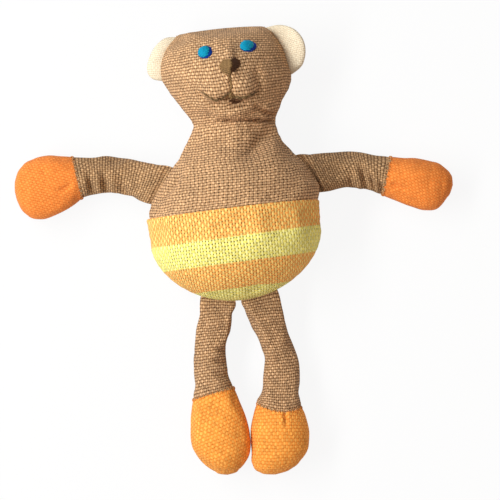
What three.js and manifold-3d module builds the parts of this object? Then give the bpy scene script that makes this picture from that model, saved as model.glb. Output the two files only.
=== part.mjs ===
// A hand-sewn rag bear of woven cotton, lying on its back with its arms spread.
// Millimetres. +Z is up out of the belly, +Y runs to the head, and the origin is on the
// table under the widest part of the belly. Left and right are the bear's own sides.
import * as THREE from 'three';
import { mergeVertices } from 'three/addons/utils/BufferGeometryUtils.js';
import Module from 'manifold-3d';

const wasm = await Module();
wasm.setup();

const { lerp, smoothstep } = THREE.MathUtils;

// Cloth and fits
const CLOTH = 1.0; // thickness of the woven cotton with its turned edge
const GAP = 0.3; // clearance between neighbouring pieces
const LOFT = 0.6; // clearance between cloth and filling
const PRESSED = 0.5; // depth of the flats where the bear rests on the table

// Trunk
const BELLY_WIDTH = 77;
const BELLY_FRONT = 29; // belly above the side seam
const BELLY_BACK = 21; // back below the side seam
const WAIST_RISE = 12; // belly line to waist seam
const CROTCH_DROP = 28; // belly line to the bottom seam
const HIP_SAG = 5; // fall of the bottom seam below the side seam
const BOWL = 1.75; // roundness of the trouser bottom

// Neck
const NECK_RISE = 51; // belly line to neck hinge
const NECK_WIDTH = 37;
const NECK_DEPTH = 29;
const NECK_HEIGHT = 19; // hinge above the table
const COLLAR_DROP = 3; // chest edge below the hinge
const PLUG_ANGLE = 50; // degrees of the neck plug that the head cloth covers
const HEAD_SHIFT = 4.6; // sideways lean of the head

// Head
const HEAD_LENGTH = 42.4; // neck hinge to crown seam
const HEAD_WIDTH = 57.4;
const HEAD_FRONT = 22; // face above the side seam
const HEAD_BACK = 20; // back of the head below the side seam
const CROWN_WIDTH = 41;
const CHEEK_LEVEL = 0.48; // widest level as a share of the head length
const MUZZLE_PUFF = 6;
const MUZZLE_WIDTH = 29;
const MUZZLE_LENGTH = 25;
const MUZZLE_RISE = 17; // neck hinge to the middle of the muzzle
const JOWL_PUFF = 1.8;
const JOWL_SPACING = 13;
const JOWL_RISE = 14;
const JOWL_SIZE = 6;

// Ears
const EAR_REACH = 8.6;
const EAR_THICKNESS = 5;
const EAR_LOW = 0.44; // lower end of the ear seam as a share of the head length

// Face threads
const EYE_SPACING = 19.2;
const EYE_RISE = 32.4; // neck hinge to the eyes
const EYE_WIDTH = 7;
const EYE_HEIGHT = 5.6;
const EYE_PUFF = 1.5;
const EYE_RIM = 1.2; // width of the dark rim
const NOSE_RISE = 26;
const NOSE_WIDTH = 8.4;
const NOSE_LENGTH = 6.6;
const NOSE_PUFF = 3;
const THREAD = 1.1; // thickness of the mouth thread
const MOUTH_TOP = 21.4;
const MOUTH_BOTTOM = 11.6;
const MOUTH_WIDTH = 23;
const MOUTH_CURL = 3.8; // rise of the mouth ends

// Arms
const ARM_WIDTH = 16.5;
const ARM_THICKNESS = 16;
const LEFT_SHOULDER_RISE = 25; // belly line to the middle of the shoulder seam
const RIGHT_SHOULDER_RISE = 26.6;
const SHOULDER_WIDTH = 19.6; // length of the shoulder seam
const LEFT_ARM_LENGTH = 36.5; // shoulder seam to cuff
const RIGHT_ARM_LENGTH = 38;
const MITT_LENGTH = 28.5;
const LEFT_MITT_WIDTH = 23.5;
const RIGHT_MITT_WIDTH = 27;
const MITT_THICKNESS = 20;
const MITT_BLUNT = 2.6; // roundness of the mitt tips, pointed when small

// Legs
const LEG_WIDTH = 15;
const LEG_THICKNESS = 15;
const HIP_WIDTH = 15.8; // length of the hip seam
const HIP_SPREAD = 2.6; // between the two hip seams
const LEFT_LEG_LENGTH = 49.5; // hip seam to ankle
const RIGHT_LEG_LENGTH = 42.5;
const ANKLE_WIDTH = 18;
const LEFT_BOOT_LENGTH = 30;
const RIGHT_BOOT_LENGTH = 35.5;
const BOOT_WIDTH = 27;
const BOOT_THICKNESS = 24;
const LEFT_BOOT_BLUNT = 3.2; // roundness of the toes
const RIGHT_BOOT_BLUNT = 1.7;
const BOOT_SPREAD = 0.8; // between the two boots
const CROTCH_LEAN = -2.2; // sideways lean of the trouser bottom
const BOOT_LEAN = -3.1; // sideways lean of the boots

// Seam roots of the limbs
const TAB = 1.3; // half thickness of the flat unfilled root
const TAPER = 20; // length over which a limb fills out
const TURN = 16; // length over which a limb turns from its seam to its own line

const finish = (name, color, roughness) => new THREE.MeshStandardMaterial({ name, color, roughness });
const COTTON_BROWN = finish('brown_cotton', 0xaf8963, 0.95);
const COTTON_ORANGE = finish('orange_cotton', 0xee8c33, 0.95);
const COTTON_STRIPED = finish('striped_cotton', 0xe9c069, 0.95);
const COTTON_CREAM = finish('cream_cotton', 0xf0e2c8, 0.95);
const THREAD_DARK_BLUE = finish('dark_blue_thread', 0x0b4aa2, 0.6);
const THREAD_TURQUOISE = finish('turquoise_thread', 0x0c96b2, 0.6);
const THREAD_OLIVE = finish('olive_thread', 0x7a6742, 0.7);
const FILLING = finish('cotton_filling', 0xf4efe4, 1);

// Heights that follow from the sizes above
const BELLY_HEIGHT = BELLY_BACK - PRESSED;
const HEAD_HEIGHT = HEAD_BACK - PRESSED;
const PLUG_WIDTH = NECK_WIDTH / 2 - CLOTH;
const PLUG_RADIUS = NECK_DEPTH / 2 - CLOTH;

// Triangles between neighbouring rows of points; a closed grid joins its last column to its first.
function gridFaces(rows, closed, flipped) {
  const faces = [];
  const columns = rows[0].length;
  const spans = closed ? columns : columns - 1;
  for (let r = 0; r + 1 < rows.length; r += 1) {
    for (let c = 0; c < spans; c += 1) {
      const n = (c + 1) % columns;
      const quad = [rows[r][c], rows[r][n], rows[r + 1][n], rows[r + 1][c]];
      if (flipped) quad.reverse();
      faces.push([quad[0], quad[1], quad[2]], [quad[0], quad[2], quad[3]]);
    }
  }
  return faces;
}

// A body that can be cut, from its points and the corners of its triangles.
function cuttable(points, corners) {
  const vertProperties = Float32Array.from(points);
  const triVerts = Uint32Array.from(corners);
  return new wasm.Manifold(new wasm.Mesh({ numProp: 3, vertProperties, triVerts }));
}

// A closed body from triangles that meet edge to edge, turned to face outwards.
function closedBody(faces) {
  const geometry = new THREE.BufferGeometry().setFromPoints(faces.flat());
  const merged = mergeVertices(geometry);
  const { array } = merged.attributes.position;
  const index = Array.from(merged.index.array);
  const kept = [];
  let volume = 0;
  const [a, b, c] = [new THREE.Vector3(), new THREE.Vector3(), new THREE.Vector3()];
  for (let i = 0; i < index.length; i += 3) {
    const corner = index.slice(i, i + 3);
    if (new Set(corner).size === 3) {
      kept.push(...corner);
      a.fromArray(array, 3 * corner[0]);
      b.fromArray(array, 3 * corner[1]);
      c.fromArray(array, 3 * corner[2]);
      volume += a.dot(b.cross(c));
    }
  }
  if (volume < 0) kept.reverse();
  return cuttable(array, kept);
}

// A three.js solid as a body that can be cut.
function fromGeometry(geometry) {
  geometry.deleteAttribute('normal');
  geometry.deleteAttribute('uv');
  const merged = mergeVertices(geometry);
  return cuttable(merged.attributes.position.array, merged.index.array);
}

// A body as a named mesh.
function piece(name, body, material) {
  const { vertProperties, triVerts } = body.getMesh();
  const geometry = new THREE.BufferGeometry();
  geometry.setAttribute('position', new THREE.BufferAttribute(Float32Array.from(vertProperties), 3));
  geometry.setIndex(Array.from(triVerts));
  geometry.computeVertexNormals();
  const mesh = new THREE.Mesh(geometry, material);
  mesh.name = name;
  return mesh;
}

// A filling: a closed loft whose first and last rows shrink to a point or a line.
function plump(rows) {
  return closedBody(gridFaces(rows, true, false));
}

// A sewn bag: an outer and an inner loft, both shut at the first row and joined at the last.
function bag(outer, inner) {
  const rim = [outer.at(-1), inner.at(-1)];
  return closedBody([
    ...gridFaces(outer, true, false),
    ...gridFaces(inner, true, true),
    ...gridFaces(rim, true, false),
  ]);
}

// A sewn panel: an outer and an inner grid joined all round.
function panel(outer, inner) {
  const left = [outer.map((row) => row[0]), inner.map((row) => row[0])];
  const right = [outer.map((row) => row.at(-1)), inner.map((row) => row.at(-1))];
  return closedBody([
    ...gridFaces(outer, false, false),
    ...gridFaces(inner, false, true),
    ...gridFaces([outer[0], inner[0]], false, true),
    ...gridFaces([outer.at(-1), inner.at(-1)], false, false),
    ...gridFaces(left, false, false),
    ...gridFaces(right, false, true),
  ]);
}

const TABLE = fromGeometry(new THREE.BoxGeometry(600, 600, 60).translate(0, 0, -30));

// Pressed flat where it rests on the table.
function rested(body) {
  return body.subtract(TABLE);
}

// One ring of a stuffed form: a half ellipse above the side seam and another below it.
function ring(section, columns, puff = () => 0) {
  return Array.from({ length: columns }, (_, i) => {
    const angle = (2 * Math.PI * i) / columns;
    const x = section.x + section.halfWidth * Math.cos(angle);
    const rise = Math.sin(angle);
    const front = section.front + section.shut * puff(x, section.y);
    return new THREE.Vector3(x, section.y, section.z + rise * (rise > 0 ? front : section.back));
  });
}

// The front or back half of a ring, set off from the side seam by half the clearance.
function halfRing(row, side) {
  const half = row.length / 2;
  const points = side > 0 ? row.slice(0, half + 1) : [...row.slice(half), row[0]];
  return points.map((p) => p.clone().setZ(p.z + (side * GAP) / 2));
}

// Trunk section at a level along Y: a pear, shut to a point at the bottom seam.
function trunkSection(y, inset = 0) {
  const up = smoothstep(y, WAIST_RISE, NECK_RISE);
  const down = Math.min(1, Math.max(0, -y) / (CROTCH_DROP - inset));
  const shut = Math.sqrt(1 - down ** BOWL);
  return {
    x: HEAD_SHIFT * up + CROTCH_LEAN * down ** 2,
    y,
    z: lerp(BELLY_HEIGHT, NECK_HEIGHT, up) - HIP_SAG * down ** 2,
    halfWidth: (lerp(BELLY_WIDTH, NECK_WIDTH, up) / 2 - inset) * shut,
    front: (lerp(BELLY_FRONT, NECK_DEPTH / 2, up) - inset) * shut,
    back: (lerp(BELLY_BACK, NECK_DEPTH / 2, up) - inset) * shut,
    shut,
  };
}

const TRUNK_COLUMNS = 24;
const BOWL_ROWS = 6;
const CHEST_ROWS = 6;

// Levels of the trouser rows, close together towards the bottom seam.
function trouserLevels(inset, top) {
  const levels = [];
  for (let i = 0; i <= BOWL_ROWS; i += 1) {
    levels.push(-(CROTCH_DROP - inset) * Math.cos((Math.PI / 2) * (i / BOWL_ROWS)));
  }
  return [...levels, top / 2, top];
}

function chestLevels(bottom) {
  const top = NECK_RISE - COLLAR_DROP;
  return Array.from({ length: CHEST_ROWS + 1 }, (_, i) => lerp(bottom, top, i / CHEST_ROWS));
}

function trunkRows(levels, inset) {
  return levels.map((y) => ring(trunkSection(y, inset), TRUNK_COLUMNS));
}

function trunkPanel(outerLevels, innerLevels, side) {
  const outer = trunkRows(outerLevels, 0).map((row) => halfRing(row, side));
  const inner = trunkRows(innerLevels, CLOTH).map((row) => halfRing(row, side));
  return panel(outer, inner);
}

// Whole trunk as one body, grown or shrunk.
function trunkBody(inset) {
  const levels = [...trouserLevels(inset, WAIST_RISE), ...chestLevels(WAIST_RISE).slice(1)];
  const rows = trunkRows(levels, inset);
  const { x, y, z } = trunkSection(levels.at(-1));
  rows.push(rows[0].map(() => new THREE.Vector3(x, y, z)));
  return plump(rows);
}

// Head width as a share of the way from neck to cheeks, then cheeks to crown.
function headSection(level, inset = 0) {
  const low = Math.min(1, level / CHEEK_LEVEL);
  const high = Math.max(0, (level - CHEEK_LEVEL) / (1 - CHEEK_LEVEL)) ** 2.2;
  const fill = smoothstep(level, 0, CHEEK_LEVEL);
  const shut = Math.sqrt(1 - high);
  const cheek = lerp(PLUG_WIDTH, HEAD_WIDTH / 2, Math.sin((Math.PI / 2) * low));
  return {
    x: HEAD_SHIFT,
    y: NECK_RISE + level * (HEAD_LENGTH - inset),
    z: lerp(NECK_HEIGHT, HEAD_HEIGHT, fill),
    halfWidth: lerp(cheek, CROWN_WIDTH / 2, high) - inset,
    front: (lerp(PLUG_RADIUS, HEAD_FRONT, fill) - inset) * shut,
    back: (lerp(PLUG_RADIUS, HEAD_BACK, fill) - inset) * shut,
    shut: fill * shut,
  };
}

// Neck plug section below the hinge, round about the hinge line.
function plugSection(angle, inset = 0) {
  const turn = THREE.MathUtils.degToRad(angle);
  const size = Math.cos(turn);
  return {
    x: HEAD_SHIFT,
    y: NECK_RISE - (PLUG_RADIUS - inset) * Math.sin(turn),
    z: NECK_HEIGHT,
    halfWidth: (PLUG_WIDTH - inset) * size,
    front: (PLUG_RADIUS - inset) * size,
    back: (PLUG_RADIUS - inset) * size,
    shut: 0,
  };
}

// Soft hump of a given height and half size.
function hump(height, dx, dy, halfX, halfY) {
  return height * Math.exp(-((dx / halfX) ** 2) - (dy / halfY) ** 2);
}

// Muzzle and the two jowls that the mouth stitches draw out of the face.
function facePuff(x, y) {
  const dx = x - HEAD_SHIFT;
  const dy = y - NECK_RISE;
  const muzzle = hump(MUZZLE_PUFF, dx, dy - MUZZLE_RISE, MUZZLE_WIDTH / 2, MUZZLE_LENGTH / 2);
  const left = hump(JOWL_PUFF, dx - JOWL_SPACING / 2, dy - JOWL_RISE, JOWL_SIZE, JOWL_SIZE);
  const right = hump(JOWL_PUFF, dx + JOWL_SPACING / 2, dy - JOWL_RISE, JOWL_SIZE, JOWL_SIZE);
  return muzzle + left + right;
}

const HEAD_COLUMNS = 24;
const HEAD_LEVELS = [0.06, 0.15, 0.24, 0.33, 0.42, 0.52, 0.62, 0.74, 0.86, 0.95, 1];
const PLUG_ANGLES = [PLUG_ANGLE, PLUG_ANGLE / 2, 0];

function headRows(inset, puff = facePuff) {
  return [
    ...PLUG_ANGLES.map((angle) => ring(plugSection(angle, inset), HEAD_COLUMNS)),
    ...HEAD_LEVELS.map((level) => ring(headSection(level, inset), HEAD_COLUMNS, puff)),
  ];
}

// Whole head as one body, grown or shrunk, with the neck plug shut.
function headBody(inset, puff = facePuff) {
  const rows = headRows(inset, puff);
  const { x, y, z } = plugSection(PLUG_ANGLE, inset);
  return plump([rows[0].map(() => new THREE.Vector3(x, y, z)), ...rows]);
}

// Neck plug as a whole body about the hinge line, grown by the clearance.
function neckSocket() {
  const width = PLUG_WIDTH + GAP;
  const radius = PLUG_RADIUS + GAP;
  const shape = new THREE.SphereGeometry(1, 24, 16).scale(width, radius, radius);
  return fromGeometry(shape.translate(HEAD_SHIFT, NECK_RISE, NECK_HEIGHT));
}

// Height of the face above the table at a point of the head.
function faceHeight(dx, dy) {
  const section = headSection(dy / HEAD_LENGTH);
  const side = Math.min(0.999, Math.abs(dx) / section.halfWidth);
  const rise = Math.sqrt(1 - side * side);
  return section.z + (section.front + section.shut * facePuff(HEAD_SHIFT + dx, NECK_RISE + dy)) * rise;
}

// Place on the face with its outward direction.
function onFace(dx, dy) {
  const step = 0.5;
  const slopeX = (faceHeight(dx + step, dy) - faceHeight(dx - step, dy)) / (2 * step);
  const slopeY = (faceHeight(dx, dy + step) - faceHeight(dx, dy - step)) / (2 * step);
  return {
    point: new THREE.Vector3(HEAD_SHIFT + dx, NECK_RISE + dy, faceHeight(dx, dy)),
    normal: new THREE.Vector3(-slopeX, -slopeY, 1).normalize(),
  };
}

// A pad of stitches seated on the face.
function facePad(dx, dy, width, length, puff) {
  const { point, normal } = onFace(dx, dy);
  const shape = new THREE.SphereGeometry(1, 12, 6).scale(width / 2, length / 2, puff + GAP);
  const turn = new THREE.Quaternion().setFromUnitVectors(new THREE.Vector3(0, 0, 1), normal);
  return fromGeometry(shape.applyQuaternion(turn).translate(point.x, point.y, point.z));
}

// A mouth stitch laid over the face through a few points.
function mouthStitch(points) {
  const path = new THREE.CatmullRomCurve3(
    points.map(([dx, dy]) => {
      const { point, normal } = onFace(dx, dy);
      return point.addScaledVector(normal, GAP + THREAD * 0.3);
    })
  );
  const rows = [];
  const steps = 6;
  const sides = 6;
  const frames = path.computeFrenetFrames(steps, false);
  for (let i = 0; i <= steps; i += 1) {
    const centre = path.getPointAt(i / steps);
    rows.push(
      Array.from({ length: sides }, (_, k) => {
        const angle = (2 * Math.PI * k) / sides;
        return centre
          .clone()
          .addScaledVector(frames.normals[i], (THREAD / 2) * Math.cos(angle))
          .addScaledVector(frames.binormals[i], (THREAD / 2) * Math.sin(angle));
      })
    );
  }
  const first = path.getPointAt(0);
  const last = path.getPointAt(1);
  return plump([rows[0].map(() => first.clone()), ...rows, rows[0].map(() => last.clone())]);
}

// An ear along the side seam of the head, from cheek level up to the crown.
function earBody(side) {
  const steps = 10;
  const sides = 8;
  const edge = (level) => {
    const section = headSection(level);
    return new THREE.Vector3(HEAD_SHIFT + side * section.halfWidth, section.y, section.z);
  };
  const rows = Array.from({ length: steps + 1 }, (_, i) => {
    const share = i / steps;
    const level = lerp(EAR_LOW, 1, share);
    const along = edge(Math.min(1, level + 0.02)).sub(edge(level - 0.02)).normalize();
    const outward = new THREE.Vector3(side * along.y, -side * along.x, 0);
    const shape = Math.sin(Math.PI * share) ** 0.6;
    const half = (shape * (EAR_REACH + CLOTH)) / 2;
    const centre = edge(level).addScaledVector(outward, half - shape * CLOTH);
    return Array.from({ length: sides }, (_unused, k) => {
      const angle = (2 * Math.PI * k) / sides;
      const point = centre.clone().addScaledVector(outward, half * Math.cos(angle));
      return point.setZ(point.z + (EAR_THICKNESS / 2) * shape * Math.sin(angle));
    });
  });
  return plump(rows);
}

// A limb: a sleeve that starts flat along its seam, and a rounded bag at its end.
function limb({ route, seam, rootWidth, width, cuffWidth, thickness, sleeve, end }) {
  const path = new THREE.CatmullRomCurve3(route);
  const length = sleeve + end.length;
  const columns = 10;
  const away = path.getTangentAt(0).setZ(0).normalize();
  const row = (s, halfWidth, halfThickness) => {
    const share = THREE.MathUtils.clamp(s / length, 0, 1);
    const along = path.getTangentAt(share);
    const centre = path.getPointAt(share);
    const square = new THREE.Vector3(-along.y, along.x, 0).normalize();
    if (square.dot(seam(1).sub(seam(-1))) < 0) square.negate();
    const up = new THREE.Vector3().crossVectors(along, square).normalize();
    const free = smoothstep(s, 0, TURN);
    return Array.from({ length: columns }, (_, k) => {
      const angle = (2 * Math.PI * k) / columns;
      const offset = halfWidth * Math.cos(angle);
      const sewn = seam(offset).addScaledVector(away, s);
      sewn.z += centre.z - route[0].z;
      return sewn
        .lerp(centre.clone().addScaledVector(square, offset), free)
        .addScaledVector(up, halfThickness * Math.sin(angle));
    });
  };
  const sleeveHalf = (s) => {
    const fill = smoothstep(s, 0, TURN);
    return lerp(lerp(rootWidth, width, fill), cuffWidth, smoothstep(s, sleeve / 2, sleeve)) / 2;
  };
  const sleeveThick = (s) => lerp(TAB, thickness / 2, Math.min(1, Math.max(0, s) / TAPER) ** 2);
  const stations = Array.from({ length: 8 }, (_, i) => (sleeve * i) / 7);
  const hollow = stations.findIndex((s) => sleeveThick(s) > CLOTH + 2 * LOFT);
  const sleeveRows = (first, inset) =>
    stations.slice(first).map((s) => {
      const level = Math.min(s, sleeve - GAP / 2);
      return row(level, sleeveHalf(level) - inset, sleeveThick(level) - inset);
    });
  const pinched = (first, inset) => {
    const s = stations[first] - inset;
    return row(s, sleeveHalf(s) - inset - CLOTH, 0);
  };
  const endRow = (share, inset) => {
    const flare = smoothstep(share, -0.1, 0.55);
    const shut = Math.sqrt(1 - Math.max(0, (share - 0.5) / 0.5) ** end.blunt);
    const s = sleeve + share * (end.length - inset);
    const halfWidth = (lerp(cuffWidth, end.width, flare) / 2 - inset) * shut;
    return row(s, halfWidth, (lerp(thickness, end.thickness, flare) / 2 - inset) * shut);
  };
  const endShares = [1, 0.97, 0.9, 0.78, 0.6, 0.38, 0.18];
  const endRows = (inset) => endShares.map((share) => endRow(share, inset));
  const mouth = (inset) => row(sleeve + GAP / 2, cuffWidth / 2 - inset, thickness / 2 - inset);
  const root = [row(-TAB, rootWidth / 2 - TAB / 2, 0), row(-TAB * 0.6, rootWidth / 2, TAB * 0.8)];
  const inset = CLOTH + LOFT;
  return {
    sleeve: bag([...root, ...sleeveRows(0, 0)], [pinched(hollow, CLOTH), ...sleeveRows(hollow, CLOTH)]),
    end: bag([...endRows(0), mouth(0)], [...endRows(CLOTH), mouth(CLOTH)]),
    space: plump([...endRows(-GAP), mouth(-GAP), row(sleeve, 0, 0)]),
    filling: plump([
      pinched(hollow + 1, inset),
      ...sleeveRows(hollow + 1, inset),
      mouth(inset),
      ...endRows(inset).reverse(),
    ]),
  };
}

// Edge of the trunk at a level of the side seam.
function sideSeam(side, y) {
  const section = trunkSection(y);
  return new THREE.Vector3(section.x + side * section.halfWidth, y, section.z);
}

// An arm from the shoulder seam, drooping until it lies on the table.
function armLimb(side, shoulder, sleeve, mittWidth, bend) {
  const along = sideSeam(side, shoulder + 1).sub(sideSeam(side, shoulder - 1)).setZ(0).normalize();
  const outward = new THREE.Vector3(side * along.y, -side * along.x, 0);
  const height = sideSeam(side, shoulder).z;
  const seam = (offset) => {
    const edge = sideSeam(side, shoulder + offset * along.y);
    return edge.addScaledVector(outward, TAB + GAP).setZ(height);
  };
  const start = seam(0);
  const low = ARM_THICKNESS / 2 + GAP;
  const mittLow = MITT_THICKNESS / 2 - PRESSED;
  const reach = sleeve + MITT_LENGTH;
  const at = (share, z) => {
    const slide = new THREE.Vector3(side * share * reach, bend(share) * reach, 0);
    return start.clone().add(slide).setZ(z);
  };
  const route = [
    start,
    at(0.2, lerp(height, low, 0.65)),
    at(0.38, low),
    at(0.58, low),
    at(0.78, mittLow),
    at(0.955, mittLow),
  ];
  return {
    hinge: { at: start, axis: along.clone().multiplyScalar(-side) },
    pieces: limb({
      route,
      seam,
      rootWidth: SHOULDER_WIDTH,
      width: ARM_WIDTH,
      cuffWidth: ARM_WIDTH,
      thickness: ARM_THICKNESS,
      sleeve,
      end: { length: MITT_LENGTH, width: mittWidth, thickness: MITT_THICKNESS, blunt: MITT_BLUNT },
    }),
  };
}

// Bottom seam of the trousers at a place across the trunk.
function bottomSeam(x) {
  const across = (y) => {
    const section = trunkSection(y);
    return (x - section.x) / section.halfWidth;
  };
  let [low, high] = [-CROTCH_DROP, 0];
  for (let i = 0; i < 40; i += 1) {
    const middle = (low + high) / 2;
    if (Math.abs(across(middle)) > 1) low = middle;
    else high = middle;
  }
  return new THREE.Vector3(x, high, trunkSection(high).z);
}

// A leg from the bottom seam to a boot that lies beside its neighbour.
function legLimb(side, sleeve, bootLength, blunt, bow, toe) {
  const rootX = CROTCH_LEAN + (side * (HIP_SPREAD + HIP_WIDTH)) / 2;
  const height = bottomSeam(rootX).z;
  const seam = (offset) => {
    const edge = bottomSeam(rootX + offset);
    return new THREE.Vector3(edge.x, edge.y - TAB - GAP, height);
  };
  const start = seam(0);
  const bootX = BOOT_LEAN + (side * (BOOT_SPREAD + BOOT_WIDTH)) / 2;
  const low = LEG_THICKNESS / 2 + GAP;
  const bootLow = BOOT_THICKNESS / 2 - PRESSED;
  const reach = sleeve + bootLength;
  const at = (share, x, z) => new THREE.Vector3(x, start.y - share * reach, z);
  const route = [
    start,
    at(0.16, lerp(rootX, bootX, 0.45) + side * bow * 0.6, lerp(height, low, 0.65)),
    at(0.34, lerp(rootX, bootX, 0.8) + side * bow, low),
    at((0.75 * sleeve) / reach, bootX + side * bow * 0.7, low),
    at((sleeve + 0.4 * bootLength) / reach, bootX, bootLow),
    at(0.985, bootX + toe, bootLow),
  ];
  return {
    hinge: { at: seam((-side * HIP_WIDTH) / 2).setX(rootX), axis: new THREE.Vector3(-1, 0, 0) },
    pieces: limb({
      route,
      seam,
      rootWidth: HIP_WIDTH,
      width: LEG_WIDTH,
      cuffWidth: ANKLE_WIDTH,
      thickness: LEG_THICKNESS,
      sleeve,
      end: { length: bootLength, width: BOOT_WIDTH, thickness: BOOT_THICKNESS, blunt },
    }),
  };
}

const bear = new THREE.Group();
bear.name = 'rag_bear';

// Trunk
const socket = neckSocket();
const below = WAIST_RISE - GAP / 2;
const above = WAIST_RISE + GAP / 2;
for (const [name, side] of [['front', 1], ['back', -1]]) {
  const chest = trunkPanel(chestLevels(above), chestLevels(above), side);
  const trousers = trunkPanel(trouserLevels(0, below), trouserLevels(CLOTH, below), side);
  bear.add(piece(`chest_${name}`, rested(chest.subtract(socket)), COTTON_BROWN));
  bear.add(piece(`trousers_${name}`, rested(trousers), COTTON_STRIPED));
}
bear.add(piece('trunk_filling', trunkBody(CLOTH + LOFT).subtract(socket), FILLING));

// Head
for (const [name, side] of [['front', 1], ['back', -1]]) {
  const outer = headRows(0).map((row) => halfRing(row, side));
  const inner = headRows(CLOTH).map((row) => halfRing(row, side));
  bear.add(piece(`head_${name}`, rested(panel(outer, inner)), COTTON_BROWN));
}
bear.add(piece('head_filling', headBody(CLOTH + LOFT, (x, y) => 0.9 * facePuff(x, y)), FILLING));

// Ears and face, cut to the head with the clearance
const headSpace = headBody(-GAP);
const onHead = (name, body, material) => bear.add(piece(name, body.subtract(headSpace), material));
onHead('left_ear', earBody(1), COTTON_CREAM);
onHead('right_ear', earBody(-1), COTTON_CREAM);
for (const [name, side] of [['left', 1], ['right', -1]]) {
  const place = [(side * EYE_SPACING) / 2, EYE_RISE];
  const whole = facePad(...place, EYE_WIDTH, EYE_HEIGHT, EYE_PUFF);
  const inside = facePad(...place, EYE_WIDTH - 2 * EYE_RIM, EYE_HEIGHT - 2 * EYE_RIM, 2 * EYE_PUFF);
  const edge = 2 * (EYE_RIM + GAP);
  const core = facePad(...place, EYE_WIDTH - edge, EYE_HEIGHT - edge, EYE_PUFF + GAP);
  onHead(`${name}_eye_rim`, whole.subtract(inside), THREAD_DARK_BLUE);
  onHead(`${name}_eye_centre`, core, THREAD_TURQUOISE);
}
onHead('nose', facePad(1.2, NOSE_RISE, NOSE_WIDTH, NOSE_LENGTH, NOSE_PUFF), THREAD_OLIVE);
const half = MOUTH_WIDTH / 2;
const clear = THREAD + GAP;
const middle = lerp(MOUTH_TOP, MOUTH_BOTTOM, 0.5);
const upright = [[0, MOUTH_TOP], [0, middle], [0, MOUTH_BOTTOM]];
onHead('mouth_upright', mouthStitch(upright), THREAD_OLIVE);
for (const [name, side] of [['left', 1], ['right', -1]]) {
  const points = [
    [(side * clear) / 2 + side * 0.4, MOUTH_BOTTOM - 0.9 * clear],
    [side * half * 0.5, MOUTH_BOTTOM - 1.1 * clear],
    [side * half * 0.82, MOUTH_BOTTOM + MOUTH_CURL * 0.35],
    [side * half, MOUTH_BOTTOM + MOUTH_CURL],
  ];
  onHead(`mouth_${name}`, mouthStitch(points), THREAD_OLIVE);
}

// Limbs, cut to the trunk with the clearance
const trunkSpace = trunkBody(-GAP);
const addLimb = (name, { pieces }, [tube, end, filling]) => {
  bear.add(piece(`${name}_${tube}`, rested(pieces.sleeve.subtract(trunkSpace)), COTTON_BROWN));
  bear.add(piece(`${name}_${end}`, rested(pieces.end), COTTON_ORANGE));
  bear.add(piece(`${name}_${filling}`, pieces.filling, FILLING));
};
const leftBend = (share) => -0.32 * share ** 2;
const rightBend = (share) => 0.49 * share - 0.5 * share ** 2;
const leftArm = armLimb(1, LEFT_SHOULDER_RISE, LEFT_ARM_LENGTH, LEFT_MITT_WIDTH, leftBend);
const rightArm = armLimb(-1, RIGHT_SHOULDER_RISE, RIGHT_ARM_LENGTH, RIGHT_MITT_WIDTH, rightBend);
const leftLeg = legLimb(1, LEFT_LEG_LENGTH, LEFT_BOOT_LENGTH, LEFT_BOOT_BLUNT, 1.6, -3.4);
const rightLeg = legLimb(-1, RIGHT_LEG_LENGTH, RIGHT_BOOT_LENGTH, RIGHT_BOOT_BLUNT, 2, 0.6);
leftLeg.pieces.end = leftLeg.pieces.end.subtract(rightLeg.pieces.space);
addLimb('left', leftArm, ['sleeve', 'mitt', 'arm_filling']);
addLimb('right', rightArm, ['sleeve', 'mitt', 'arm_filling']);
addLimb('left', leftLeg, ['leg', 'boot', 'leg_filling']);
addLimb('right', rightLeg, ['leg', 'boot', 'leg_filling']);

// Hinge lines of the joints
bear.userData.hinges = {
  neck: { at: new THREE.Vector3(HEAD_SHIFT, NECK_RISE, NECK_HEIGHT), axis: new THREE.Vector3(1, 0, 0) },
  left_shoulder: leftArm.hinge,
  right_shoulder: rightArm.hinge,
  left_hip: leftLeg.hinge,
  right_hip: rightLeg.hinge,
};

export default bear;
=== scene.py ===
import math

import bmesh
import bpy
import numpy as np
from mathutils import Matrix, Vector
from mathutils.bvhtree import BVHTree


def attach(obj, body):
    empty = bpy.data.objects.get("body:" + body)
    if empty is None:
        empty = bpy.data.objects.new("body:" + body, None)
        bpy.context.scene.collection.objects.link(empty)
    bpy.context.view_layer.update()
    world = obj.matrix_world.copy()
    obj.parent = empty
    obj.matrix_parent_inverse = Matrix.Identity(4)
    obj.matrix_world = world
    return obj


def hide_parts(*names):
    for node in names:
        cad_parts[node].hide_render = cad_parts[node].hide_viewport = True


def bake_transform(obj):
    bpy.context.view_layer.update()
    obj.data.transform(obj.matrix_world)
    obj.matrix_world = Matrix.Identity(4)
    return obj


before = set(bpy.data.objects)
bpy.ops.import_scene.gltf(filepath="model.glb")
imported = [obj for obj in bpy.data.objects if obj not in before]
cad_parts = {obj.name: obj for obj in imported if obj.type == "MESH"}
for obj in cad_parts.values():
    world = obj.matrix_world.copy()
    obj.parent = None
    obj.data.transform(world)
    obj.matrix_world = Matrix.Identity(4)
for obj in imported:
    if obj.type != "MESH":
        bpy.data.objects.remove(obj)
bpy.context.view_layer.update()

# Lengths below are millimetres in the frame of the part; meshes are written in metres.
mm = 0.001


# Smooth step: 0 below a, 1 above b, 3t^2 - 2t^3 between.
def ramp(x, a, b):
    t = np.clip((np.asarray(x, float) - a) / (b - a), 0, 1)
    return t * t * (3 - 2 * t)


# Bell: e to the minus square of x over its half width.
def bell(x, width):
    return np.exp(-((x / width) ** 2))


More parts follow.
